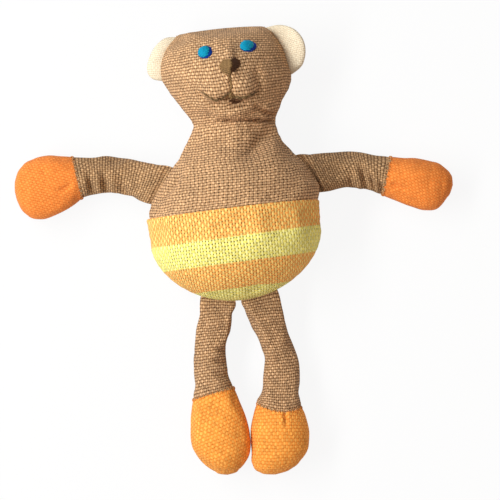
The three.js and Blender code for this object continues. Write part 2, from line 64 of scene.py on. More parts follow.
# Curve through few points: cubic pieces, each slope the weighted mean of the two chords beside it.
def through(knots, values, x):
    knots, values, x = np.asarray(knots, float), np.asarray(values, float), np.asarray(x, float)
    shape = values.shape[1:]
    flat = values.reshape(len(knots), -1)
    gap = np.diff(knots)
    chord = np.diff(flat, axis=0) / gap[:, None]
    slope = np.empty_like(flat)
    slope[1:-1] = (gap[1:, None] * chord[:-1] + gap[:-1, None] * chord[1:]) / (gap[1:] + gap[:-1])[:, None]
    slope[0], slope[-1] = chord[0], chord[-1]
    i = np.clip(np.searchsorted(knots, x, side="right") - 1, 0, len(gap) - 1)
    t = ((x - knots[i]) / gap[i])[:, None]
    h = gap[i][:, None]
    curve = (2 * t**3 - 3 * t**2 + 1) * flat[i] + (t**3 - 2 * t**2 + t) * h * slope[i]
    curve += (3 * t**2 - 2 * t**3) * flat[i + 1] + (t**3 - t**2) * h * slope[i + 1]
    return curve.reshape(len(x), *shape)


# Distance of each point from a line of few points, and how far along it the nearest place is, 0 to 1.
def toLine(x, y, points):
    points = np.asarray(points, float)
    best = np.full(x.shape, 1e9)
    share = np.zeros(x.shape)
    spans = len(points) - 1
    for i in range(spans):
        (ax, ay), (bx, by) = points[i], points[i + 1]
        dx, dy = bx - ax, by - ay
        t = np.clip(((x - ax) * dx + (y - ay) * dy) / (dx * dx + dy * dy), 0, 1)
        distance = np.hypot(x - ax - t * dx, y - ay - t * dy)
        nearer = distance < best
        best = np.where(nearer, distance, best)
        share = np.where(nearer, (i + t) / spans, share)
    return best, share


# Fade along a line: a sine that is largest halfway, to a power, its ends cut off by a margin.
def midway(share, margin=0.0, power=1.0):
    return np.sin(np.pi * np.clip(share, margin, 1 - margin)) ** power


# Uneven stuffing: the mean of sine waves in random directions, all of one wavelength, brought back to
# about one unit high.
def lumps(p, size, seed, count=8, gain=1.6):
    rng = np.random.default_rng(seed)
    waves = rng.normal(size=(count, 3))
    waves *= (2 * np.pi / size) / np.linalg.norm(waves, axis=1, keepdims=True)
    phase = rng.uniform(0, 2 * np.pi, count)
    return np.sin(p @ waves.T + phase).mean(axis=-1) * gain


# Pressed on the table: half of z plus the root of z squared and a softness squared.
def pressed(p, softness=0.5):
    out = p.copy()
    out[..., 2] = 0.5 * (p[..., 2] + np.sqrt(p[..., 2] ** 2 + softness**2))
    return out


# Unit vectors of a list of vectors.
def unit(v):
    return v / np.maximum(np.linalg.norm(v, axis=-1, keepdims=True), 1e-9)


# Outward direction of a ring grid: cross product of its steps round and along, away from its middle line.
def outward(p):
    along = np.gradient(p, axis=0)
    around = np.roll(p, -1, axis=1) - np.roll(p, 1, axis=1)
    n = np.cross(around, along)
    middle = p.mean(axis=1, keepdims=True)
    if np.sum(n * (p - middle)) < 0:
        n = -n
    return unit(n)


# Moved along the outward direction by an amount per point.
def push(p, amount):
    return p + outward(p) * np.asarray(amount)[..., None]


# Length along a line of points, from its first point.
def lengthAlong(line):
    return np.concatenate([[0], np.cumsum(np.linalg.norm(np.diff(line, axis=0), axis=1))])


# Length round each row of a ring grid, from its first column, with the closing column added.
def roundLength(p):
    ring = np.concatenate([p, p[:, :1]], axis=1)
    length = np.zeros(ring.shape[:2])
    length[:, 1:] = np.cumsum(np.linalg.norm(np.diff(ring, axis=1), axis=2), axis=1)
    return ring, length


# Cloth coordinates in mm of each face corner: across from the panel's middle column, along down that column
# or down one column that all panels share.
def clothPlan(p, panels, shared=None):
    ring, length = roundLength(p)
    plan = np.empty((p.shape[0] - 1, p.shape[1], 4, 2))
    for first, last, middle in panels:
        v = lengthAlong(ring[:, middle if shared is None else shared])
        u = length - length[:, middle : middle + 1]
        pair = np.stack([u, np.broadcast_to(v[:, None], u.shape)], axis=2)
        plan[:, first:last] = corners(pair[:, first : last + 1])
    return plan


# Coordinates of points as those of the four corners of each face between them.
def corners(q):
    return np.stack([q[:-1, :-1], q[:-1, 1:], q[1:, 1:], q[1:, :-1]], axis=2)


# Cloth coordinates of a bag of two flat panels: the place seen from above, moved outward by the
# half thickness times the lean of the surface less the sine of that lean, then turned by the grain.
def bagPlan(p, thick, grain):
    n = outward(p)
    n[-1] = n[-2].mean(axis=0)
    lean = np.arccos(np.clip(np.abs(n[..., 2]), 0, 1))
    q = p[..., :2] + unit(n[..., :2]) * (thick * (lean - np.sin(lean)))[..., None]
    turn = math.radians(grain)
    c, s = math.cos(turn), math.sin(turn)
    q = q @ np.array([[c, s], [-s, c]])
    return np.concatenate([q, q[:, :1]], axis=1)


# Quads of a ring grid: from each row to the next, and from each column to the next one round.
def ringFaces(rows, cols, start=0):
    index = np.arange(rows * cols).reshape(rows, cols) + start
    nextCol = np.roll(index, -1, axis=1)
    return np.stack([index[:-1], nextCol[:-1], nextCol[1:], index[1:]], axis=2).reshape(-1, 4)


# Mesh of closed ring grids with their cloth coordinates; rows that shrink to a point are welded and
# open ends are filled.
def gridObject(name, grids, material, plans):
    points, faces, start = [], [], 0
    weld = 0.004 * mm
    for p in grids:
        rows, cols = p.shape[:2]
        faces.append(ringFaces(rows, cols, start))
        points.append(p.reshape(-1, 3))
        start += rows * cols
    points, faces = np.concatenate(points) * mm, np.concatenate(faces)
    mesh = bpy.data.meshes.new(name)
    mesh.vertices.add(len(points))
    mesh.vertices.foreach_set("co", points.astype(np.float32).ravel())
    mesh.loops.add(faces.size)
    mesh.loops.foreach_set("vertex_index", faces.astype(np.int32).ravel())
    mesh.polygons.add(len(faces))
    mesh.polygons.foreach_set("loop_start", np.arange(0, faces.size, 4, dtype=np.int32))
    mesh.update(calc_edges=True)
    layer = mesh.uv_layers.new(name="cloth")
    flat = np.concatenate([plan.reshape(-1, 2) for plan in plans])
    layer.uv.foreach_set("vector", flat.astype(np.float32).ravel())
    work = bmesh.new()
    work.from_mesh(mesh)
    bmesh.ops.remove_doubles(work, verts=work.verts, dist=weld)
    bmesh.ops.holes_fill(work, edges=[e for e in work.edges if e.is_boundary], sides=0)
    bmesh.ops.recalc_face_normals(work, faces=work.faces)
    work.to_mesh(mesh)
    work.free()
    mesh.shade_smooth()
    mesh.materials.append(material)
    obj = bpy.data.objects.new(name, mesh)
    bpy.context.scene.collection.objects.link(obj)
    return obj


# Weights of cubic B-splines that carry values at coarse places over to fine ones.
def splineWeights(fine, coarse, closed):
    place = np.arange(fine) * (coarse / fine if closed else (coarse - 1) / (fine - 1))
    base = np.floor(place).astype(int)
    t = place - base
    parts = [(1 - t) ** 3, 3 * t**3 - 6 * t**2 + 4, -3 * t**3 + 3 * t**2 + 3 * t + 1, t**3]
    weights = np.zeros((fine, coarse))
    for k, part in enumerate(parts):
        column = base + k - 1
        column = column % coarse if closed else np.clip(column, 0, coarse - 1)
        np.add.at(weights, (np.arange(fine), column), part / 6)
    return weights


# Simulated cotton: one millimetre is "scale" long while it runs, and rows of less girth stay out of it.
simCotton = {
    "scale": 0.01, "leastGirth": 6.0, "frames": 20, "quality": 6, "mass": 0.3,
    "stretch": 25, "shear": 8, "bend": 0.6, "damping": 10,
}


# Cloth simulation: a coarse copy of the grid, cut a little too large, swells under inside pressure
# with its seams held; its moves are capped in length and spread over the fine grid.
def settle(name, p, held, coarse, cap, slack, pressure):
    nr, nc = coarse
    wide = np.flatnonzero(roundLength(p)[1][:, -1] > simCotton["leastGirth"])
    first, rows, cols = wide[0], wide[-1] + 1 - wide[0], p.shape[1]
    pickRow = first + np.round(np.linspace(0, rows - 1, nr)).astype(int)
    pickCol = np.round(np.arange(nc) * cols / nc).astype(int)
    low = p[pickRow][:, pickCol]
    pins = held[pickRow][:, pickCol]
    scale, frames = simCotton["scale"], simCotton["frames"]
    mesh = bpy.data.meshes.new(name + "Sim")
    mesh.from_pydata((low.reshape(-1, 3) * scale).tolist(), [], ringFaces(nr, nc).tolist())
    inwards = np.cross(low[1:, 1:] - low[:-1, :-1], low[1:, :-1] - low[:-1, 1:])
    if np.sum(inwards * outward(low)[:-1, :-1]) > 0:
        mesh.flip_normals()
    obj = bpy.data.objects.new(name + "Sim", mesh)
    bpy.context.scene.collection.objects.link(obj)
    group = obj.vertex_groups.new(name="held")
    for level in np.unique(np.round(pins, 1)):
        if level > 0:
            chosen = np.flatnonzero(np.round(pins.ravel(), 1) == level)
            group.add(chosen.tolist(), float(level), "REPLACE")
    cloth = obj.modifiers.new("cloth", "CLOTH")
    s = cloth.settings
    s.quality = simCotton["quality"]
    s.mass = simCotton["mass"]
    s.tension_stiffness = s.compression_stiffness = simCotton["stretch"]
    s.shear_stiffness = simCotton["shear"]
    s.bending_stiffness = simCotton["bend"]
    s.tension_damping = s.compression_damping = s.shear_damping = simCotton["damping"]
    s.use_pressure = True
    s.uniform_pressure_force = pressure
    s.shrink_min = -slack
    s.vertex_group_mass = "held"
    s.effector_weights.gravity = 0
    cloth.collision_settings.use_collision = False
    cloth.collision_settings.use_self_collision = False
    cloth.point_cache.frame_start = 1
    cloth.point_cache.frame_end = frames
    scene = bpy.context.scene
    for step in range(1, frames + 1):
        scene.frame_set(step)
    result = obj.evaluated_get(bpy.context.evaluated_depsgraph_get())
    moved = np.empty(nr * nc * 3, np.float32)
    result.data.vertices.foreach_get("co", moved)
    scene.frame_set(1)
    bpy.data.objects.remove(obj)
    bpy.data.meshes.remove(mesh)
    move = moved.reshape(nr, nc, 3).astype(float) / scale - low
    length = np.linalg.norm(move, axis=2, keepdims=True)
    move *= np.minimum(1, cap / np.maximum(length, 1e-9))
    fine = np.zeros_like(p)
    spread = np.einsum("ik,klx->ilx", splineWeights(rows, nr, False), move)
    fine[first : first + rows] = np.einsum("jl,ilx->ijx", splineWeights(cols, nc, True), spread)
    print(f"sim {name}: mean move {length.mean():.2f} mm, largest {length.max():.2f} mm, cap {cap} mm")
    return p + fine * (1 - held)[..., None]


# sRGB colour of 0-255 steps as a linear colour.
def colour(r, g, b):
    c = np.array([r, g, b], float) / 255
    return (*np.where(c < 0.04045, c / 12.92, ((c + 0.055) / 1.055) ** 2.4), 1.0)


# A chain of math nodes is written as calls on this small helper.
class Nodes:
    def __init__(self, tree):
        self.tree = tree

    def add(self, kind, **values):
        node = self.tree.nodes.new(kind)
        for key, value in values.items():
            setattr(node, key, value)
        return node

    def link(self, source, target):
        if hasattr(source, "is_output"):
            self.tree.links.new(source, target)
        else:
            target.default_value = source

    def math(self, operation, *inputs):
        node = self.add("ShaderNodeMath", operation=operation)
        for i, value in enumerate(inputs):
            self.link(value, node.inputs[i])
        return node.outputs[0]

    def mix(self, factor, a, b, blend="MIX"):
        node = self.add("ShaderNodeMix", data_type="RGBA", blend_type=blend)
        self.link(factor, node.inputs[0])
        self.link(a, node.inputs[6])
        self.link(b, node.inputs[7])
        return node.outputs[2]

    def range(self, value, low, high, toLow=0.0, toHigh=1.0):
        node = self.add("ShaderNodeMapRange", interpolation_type="SMOOTHSTEP")
        for i, item in enumerate((value, low, high, toLow, toHigh)):
            self.link(item, node.inputs[i])
        return node.outputs[0]

    def noise(self, vector, scale, detail=2.0):
        node = self.add("ShaderNodeTexNoise")
        self.link(vector, node.inputs["Vector"])
        node.inputs["Scale"].default_value = scale
        node.inputs["Detail"].default_value = detail
        return node

    def split(self, vector):
        node = self.add("ShaderNodeSeparateXYZ")
        self.link(vector, node.inputs[0])
        return node.outputs[0], node.outputs[1]

    def joined(self, *values):
        node = self.add("ShaderNodeCombineXYZ")
        for i, value in enumerate(values):
            self.link(value, node.inputs[i])
        return node.outputs[0]

    # Odd or even, as 1 or 0; the even number added keeps the remainder positive.
    def odd(self, number):
        return self.math("MODULO", self.math("ADD", number, 2000.0), 2.0)

    def bump(self, height, strength, depth, shader):
        node = self.add("ShaderNodeBump")
        node.inputs["Strength"].default_value = strength
        node.inputs["Distance"].default_value = depth * mm
        self.link(height, node.inputs["Height"])
        self.link(node.outputs[0], shader.inputs["Normal"])


# Node group with named inputs and outputs: its tree, its nodes, what it is given and where its results go.
def nodeGroup(name, inputs, outputs):
    tree = bpy.data.node_groups.new(name, "ShaderNodeTree")
    for direction, sockets in (("INPUT", inputs), ("OUTPUT", outputs)):
        for socket, kind in sockets.items():
            tree.interface.new_socket(socket, in_out=direction, socket_type="NodeSocket" + kind)
    n = Nodes(tree)
    return tree, n, n.add("NodeGroupInput").outputs, n.add("NodeGroupOutput").inputs


weaveLook = {
    "drift": ((0.16, 1.0), (0.6, 0.4)),  # noise scale, and share of the wander
    "slubNoise": (7.31, 0.7),  # steps of the noise from thread to thread, and along a thread
    "slubSeed": {"Warp": 3.7, "Weft": 11.2},
    "slubRange": (0.25, 0.75),
    "covered": 0.45,  # share of a thread's round side that fades into the hole
    "overlap": 0.12,  # softness of the change from warp to weft
    "patchNoise": (0.07, 3.0), "fibreNoise": 4.0,
}


# Plain weave: each thread is a half round that rises and dips by a cosine over its crossings, thicker and
# paler here and there along it. Height is the larger of warp and weft, and a hole opens at the corners
# that neither of them covers. Paired warp threads stand closer by a share of their pitch. Patches and loose
# fibres are noise over the cloth.
def weaveGroup():
    numbers = ("Warp pitch", "Weft pitch", "Wander", "Warp width", "Weft width", "Weft lift", "Slub", "Pair")
    results = ("Height", "Gap", "Warp on top", "Warp shade", "Weft shade", "Cell shade", "Patch", "Fibre")
    inputs = {"Cloth": "Vector"} | dict.fromkeys(numbers, "Float")
    tree, n, given, sink = nodeGroup("plainWeave", inputs, dict.fromkeys(results, "Float"))
    n.link(n.noise(given["Cloth"], *weaveLook["patchNoise"]).outputs["Fac"], sink["Patch"])
    n.link(n.noise(given["Cloth"], weaveLook["fibreNoise"]).outputs["Fac"], sink["Fibre"])
    place = given["Cloth"]
    for scale, amount in weaveLook["drift"]:
        shift = n.add("ShaderNodeVectorMath", operation="MULTIPLY_ADD")
        n.link(n.noise(given["Cloth"], scale, 1.0).outputs["Color"], shift.inputs[0])
        n.link(n.math("MULTIPLY", given["Wander"], amount), shift.inputs[1])
        n.link(place, shift.inputs[2])
        place = shift.outputs[0]
    across, along = n.split(place)
    u = n.math("DIVIDE", across, given["Warp pitch"])
    v = n.math("DIVIDE", along, given["Weft pitch"])
    columnNo, rowNo = n.math("FLOOR", u), n.math("FLOOR", v)
    over = n.math("SUBTRACT", n.odd(n.math("ADD", columnNo, rowNo)), 0.5)
    rounds, waves = [], []
    betweenThreads, alongThread = weaveLook["slubNoise"]
    for kind, place, number, other in (("Warp", u, columnNo, v), ("Weft", v, rowNo, u)):
        run = n.joined(n.math("MULTIPLY", number, betweenThreads), n.math("MULTIPLY", other, alongThread),
                       weaveLook["slubSeed"][kind])
        shade = n.range(n.noise(run, 1.0, 0.0).outputs["Fac"], *weaveLook["slubRange"])
        n.link(shade, sink[kind + " shade"])
        slub = n.math("MULTIPLY_ADD", n.math("SUBTRACT", shade, 0.5), given["Slub"], 1.0)
        off = n.math("SUBTRACT", n.math("FRACT", place), 0.5)
        if kind == "Warp":
            side = n.math("MULTIPLY_ADD", n.odd(number), 2.0, -1.0)
            off = n.math("ADD", off, n.math("MULTIPLY", side, given["Pair"]))
        waves.append(n.math("COSINE", n.math("MULTIPLY", off, math.pi)))
        width = n.math("MULTIPLY", given[kind + " width"], slub)
        share = n.math("DIVIDE", n.math("MULTIPLY", off, 2.0), width)
        inside = n.math("SUBTRACT", 1.0, n.math("MULTIPLY", share, share))
        rounds.append(n.math("SQRT", n.math("MAXIMUM", inside, 0.0)))
    levels, gaps = [], []
    for half, wave, sign in ((rounds[0], waves[1], 1.0), (rounds[1], waves[0], -1.0)):
        rise = n.math("MULTIPLY", n.math("MULTIPLY", over, wave), sign)
        level = n.math("ADD", n.math("MULTIPLY", half, 0.5), rise)
        if sign < 0:
            level = n.math("ADD", level, given["Weft lift"])
        cover = n.range(half, 0.0, weaveLook["covered"])
        gaps.append(n.math("SUBTRACT", 1.0, cover))
        levels.append(n.math("SUBTRACT", n.math("MULTIPLY", cover, n.math("ADD", level, 1.0)), 1.0))
    n.link(n.math("MULTIPLY", gaps[0], gaps[1]), sink["Gap"])
    top = n.math("MAXIMUM", levels[0], levels[1])
    n.link(n.math("MULTIPLY", n.math("ADD", top, 1.0), 0.5), sink["Height"])
    soft = weaveLook["overlap"]
    n.link(n.range(n.math("SUBTRACT", levels[0], levels[1]), -soft, soft), sink["Warp on top"])
    single = n.add("ShaderNodeTexWhiteNoise", noise_dimensions="2D")
    n.link(n.joined(columnNo, rowNo), single.inputs["Vector"])
    n.link(single.outputs["Value"], sink["Cell shade"])
    return tree


weave = weaveGroup()


# New material, its nodes and shader, and the cloth coordinates of the piece that it is put on.
def clothMaterial(name, look):
    material = bpy.data.materials.new(name)
    material.use_nodes = True
    n = Nodes(material.node_tree)
    shader = material.node_tree.nodes["Principled BSDF"]
    shader.inputs["Roughness"].default_value = look["roughness"]
    shader.inputs["Specular IOR Level"].default_value = look["specular"]
    return material, n, shader, n.add("ShaderNodeUVMap", uv_map="cloth").outputs[0]


cottonLook = {
    "roughness": 0.92, "specular": 0.25, "sheen": 0.04, "sheenRoughness": 0.6,
    "crownFrom": (0.78, 1.04),  # weave heights between which the painted highlight on the crown shows
    "holeFrom": (0.1, 0.6),  # openness between which the painted shade in the hole shows
    "patchRange": (0.3, 0.7), "fibreHeight": 0.2, "bump": 0.6,
}


# Woven cotton: thread colours by weave height, with a painted highlight on the crowns and painted shade in
# the holes and down the sides of the threads, each thread a little lighter or darker than its neighbours,
# worn paler in patches, with the weave raised as a bump.
def cotton(name, spec):
    material, n, shader, plan = clothMaterial(name, cottonLook)
    shader.inputs["Sheen Weight"].default_value = cottonLook["sheen"]
    shader.inputs["Sheen Roughness"].default_value = cottonLook["sheenRoughness"]
    group = n.add("ShaderNodeGroup", node_tree=weave)
    n.link(plan, group.inputs["Cloth"])
    for socket, value in (("Warp pitch", spec["pitch"][0]), ("Weft pitch", spec["pitch"][1]),
                          ("Wander", spec["wander"]), ("Warp width", spec["width"][0]),
                          ("Weft width", spec["width"][1]), ("Weft lift", spec["lift"]),
                          ("Slub", spec["slub"])):
        group.inputs[socket].default_value = value
    across, along = n.split(plan)
    if "pair" in spec:
        least, most, low, high = spec["pair"]
        n.link(n.range(along, low, high, least, most), group.inputs["Pair"])
    height, warpTop, cell = (group.outputs[key] for key in ("Height", "Warp on top", "Cell shade"))
    shade = n.mix(warpTop, group.outputs["Weft shade"], group.outputs["Warp shade"])
    threadParts = ("weft", "warp", "hole", "crown")
    if "stripes" in spec:
        band = stripeColours(n, across, along, spec["stripes"], threadParts)
    else:
        band = {part: colour(*spec[part]) for part in threadParts}
    gap = n.math("MULTIPLY", group.outputs["Gap"], n.range(cell, 0.0, 1.0, 1 - spec["ragged"], 1.0))
    if "stretched" in spec:
        middle, low, high, least = spec["stretched"]
        off = n.math("ABSOLUTE", n.math("SUBTRACT", across, middle))
        gap = n.math("MULTIPLY", gap, n.range(off, low, high, 1.0, least))
    # Crown: a painted highlight on the top of each crossing, its share on weft and warp tops given per cloth.
    raised = n.math("MULTIPLY", n.range(height, *cottonLook["crownFrom"]),
                    n.range(warpTop, 0.0, 1.0, *spec["wearAndHighlight"]))
    body = n.mix(raised, n.mix(warpTop, band["weft"], band["warp"]), band["crown"])
    # Flank: painted shade down the lower sides of the threads.
    body = n.mix(1.0, body, n.range(height, *spec["flank"], 1.0), "MULTIPLY")
    # Hole: painted shade in the gaps of the weave.
    body = n.mix(n.range(gap, *cottonLook["holeFrom"]), body, band["hole"])
    light = n.range(shade, 0.0, 1.0, 1 - spec["uneven"], 1 + spec["uneven"])
    light = n.math("MULTIPLY", light, n.range(cell, 0.0, 1.0, 1 - spec["speck"], 1 + spec["speck"]))
    wearAndHighlight = n.range(group.outputs["Patch"], *cottonLook["patchRange"], 1 - spec["patch"], 1 + spec["patch"])
    light = n.math("MULTIPLY", light, wearAndHighlight)
    n.link(n.mix(1.0, body, light, "MULTIPLY"), shader.inputs["Base Color"])
    fibre = n.math("MULTIPLY", group.outputs["Fibre"], cottonLook["fibreHeight"])
    surface = n.math("ADD", height, fibre)
    n.bump(surface, cottonLook["bump"], spec["relief"], shader)
    return material


# Stripes across the cloth: the colours of threads and holes change at given lengths along it.
def stripeColours(n, across, along, spec, threadParts):
    level = n.math("ADD", along, n.math("MULTIPLY", across, spec["slope"]))
    soft = spec["soft"]
    bands = []
    for low, high in spec["orangeBands"]:
        bands.append(n.math("MULTIPLY", n.range(level, low - soft, low + soft),
                            n.range(level, high - soft, high + soft, 1.0, 0.0)))
    orange = bands[0]
    for other in bands[1:]:
        orange = n.math("MAXIMUM", orange, other)
    return {
        part: n.mix(orange, colour(*spec["yellow"][part]), colour(*spec["orange"][part]))
        for part in threadParts
    }


threadLook = {
    "roughness": 0.7, "specular": 0.2,
    "twist": (2.6, 2.2),  # plies to a millimetre round the strand and along it
    "plyShade": 0.7, "wornNoise": 0.9, "wornRange": (0.3, 0.68, 0.35, 1.0), "bump": 0.5, "relief": 0.12,
}


# Twisted thread: fine plies wound round a strand, as stripes of its own coordinates, with painted shade
# between the plies, and darker where it is less worn.
def twistGroup():
    inputs = {"Cloth": "Vector", "Thread": "Color", "Shade": "Color"}
    tree, n, given, sink = nodeGroup("twistedThread", inputs, {"Colour": "Color", "Ply": "Float"})
    around, along = n.split(given["Cloth"])
    aroundTurns, alongTurns = threadLook["twist"]
    turn = n.math("ADD", n.math("MULTIPLY", around, aroundTurns), n.math("MULTIPLY", along, alongTurns))
    ply = n.math("ABSOLUTE", n.math("SINE", n.math("MULTIPLY", turn, math.pi)))
    wearAndHighlight = n.noise(given["Cloth"], threadLook["wornNoise"]).outputs["Fac"]
    tone = n.math("MULTIPLY", n.range(ply, 0.0, threadLook["plyShade"]),
                  n.range(wearAndHighlight, *threadLook["wornRange"]))
    n.link(n.mix(tone, given["Shade"], given["Thread"]), sink["Colour"])
    n.link(ply, sink["Ply"])
    return tree


threadTwist = twistGroup()


# Embroidery thread in two colours, the darker one painted shade between its plies and the tone of its less
# worn parts, its plies raised as a bump.
def threadFinish(name, base, dark):
    material, n, shader, plan = clothMaterial(name, threadLook)
    group = n.add("ShaderNodeGroup", node_tree=threadTwist)
    for socket, value in (("Cloth", plan), ("Thread", colour(*base)), ("Shade", colour(*dark))):
        n.link(value, group.inputs[socket])
    n.link(group.outputs["Colour"], shader.inputs["Base Color"])
    n.bump(group.outputs["Ply"], threadLook["bump"], threadLook["relief"], shader)
    return material


# Cloths: pitch and width of warp and weft, "pair" and "stretched" with the lengths between which they change,
# "flank" with the heights between which painted shade darkens a thread's side and how dark it gets there; the
# "hole" colour is painted shade in the gaps and the "crown" colour a painted highlight.
brownWeave = {
    "pitch": (1.0, 1.29), "width": (0.74, 0.74), "lift": 0.12, "wander": 0.9, "slub": 0.24,
    "flank": (0.35, 0.9, 0.62), "ragged": 0.45, "wearAndHighlight": (0.85, 0.5), "uneven": 0.05, "speck": 0.16,
    "relief": 0.7, "patch": 0.06,
}
orangeWeave = {
    "lift": 0.08, "wander": 0.8, "slub": 0.3, "flank": (0.4, 0.95, 0.82), "ragged": 0.6, "uneven": 0.05,
    "speck": 0.1, "patch": 0.05,
}
finishes = {
    "brown": cotton("brownCotton", brownWeave | {
        "weft": (192, 147, 103), "warp": (172, 128, 87), "hole": (8, 2, 0), "crown": (236, 196, 150),
        "pair": (0.03, 0.13, 50.0, 72.0), "flank": (0.35, 0.9, 0.57),
    }),
    # Sleeves and legs: darker copies of the brown cloth, as painted shade on the limbs.
    "legShadedBrown": cotton("legShadedBrownCotton", brownWeave | {
        "weft": (174, 131, 91), "warp": (155, 114, 76), "hole": (10, 3, 0), "crown": (222, 184, 141),
    }),
    "sleeveShadedBrown": cotton("sleeveShadedBrownCotton", brownWeave | {
        "weft": (164, 124, 83), "warp": (146, 108, 70), "hole": (10, 4, 0), "crown": (212, 174, 130),
    }),
    "orange": cotton("orangeCotton", orangeWeave | {
        "pitch": (1.0, 1.1), "width": (0.86, 0.86), "weft": (240, 140, 60), "warp": (231, 122, 45),
        "hole": (202, 94, 28), "crown": (247, 162, 82), "wearAndHighlight": (0.5, 0.3), "relief": 0.25, "speck": 0.05,
    }),
    "bootOrange": cotton("bootOrangeCotton", orangeWeave | {
        "pitch": (1.0, 1.5), "width": (0.86, 0.92), "weft": (246, 162, 68), "warp": (238, 138, 46),
        "hole": (190, 84, 18), "crown": (250, 188, 96), "wearAndHighlight": (0.55, 0.35), "relief": 0.4, "wander": 1.1,
    }),
    "cream": cotton("creamCotton", {
        "pitch": (0.9, 0.9), "width": (0.86, 0.86), "lift": 0.06, "wander": 0.5, "slub": 0.2,
        "flank": (0.4, 0.95, 0.8), "ragged": 0.5, "weft": (238, 223, 193), "warp": (230, 212, 180),
        "hole": (170, 142, 100), "crown": (247, 237, 214), "wearAndHighlight": (0.5, 0.5), "uneven": 0.03,
        "speck": 0.03, "relief": 0.3, "patch": 0.03,
    }),
    "turquoise": threadFinish("turquoiseThread", (0, 190, 208), (0, 100, 164)),
    "darkBlue": threadFinish("darkBlueThread", (0, 78, 190), (0, 30, 118)),
    "olive": threadFinish("oliveThread", (172, 136, 88), (84, 60, 34)),
    "umber": threadFinish("umberThread", (110, 73, 46), (56, 33, 18)),
    "beige": threadFinish("beigeThread", (236, 208, 162), (186, 148, 100)),
    "rust": threadFinish("rustThread", (226, 150, 76), (176, 98, 40)),
    "mouthOlive": threadFinish("mouthThread", (138, 110, 72), (66, 46, 28)),
}
print("stage: finishes made")

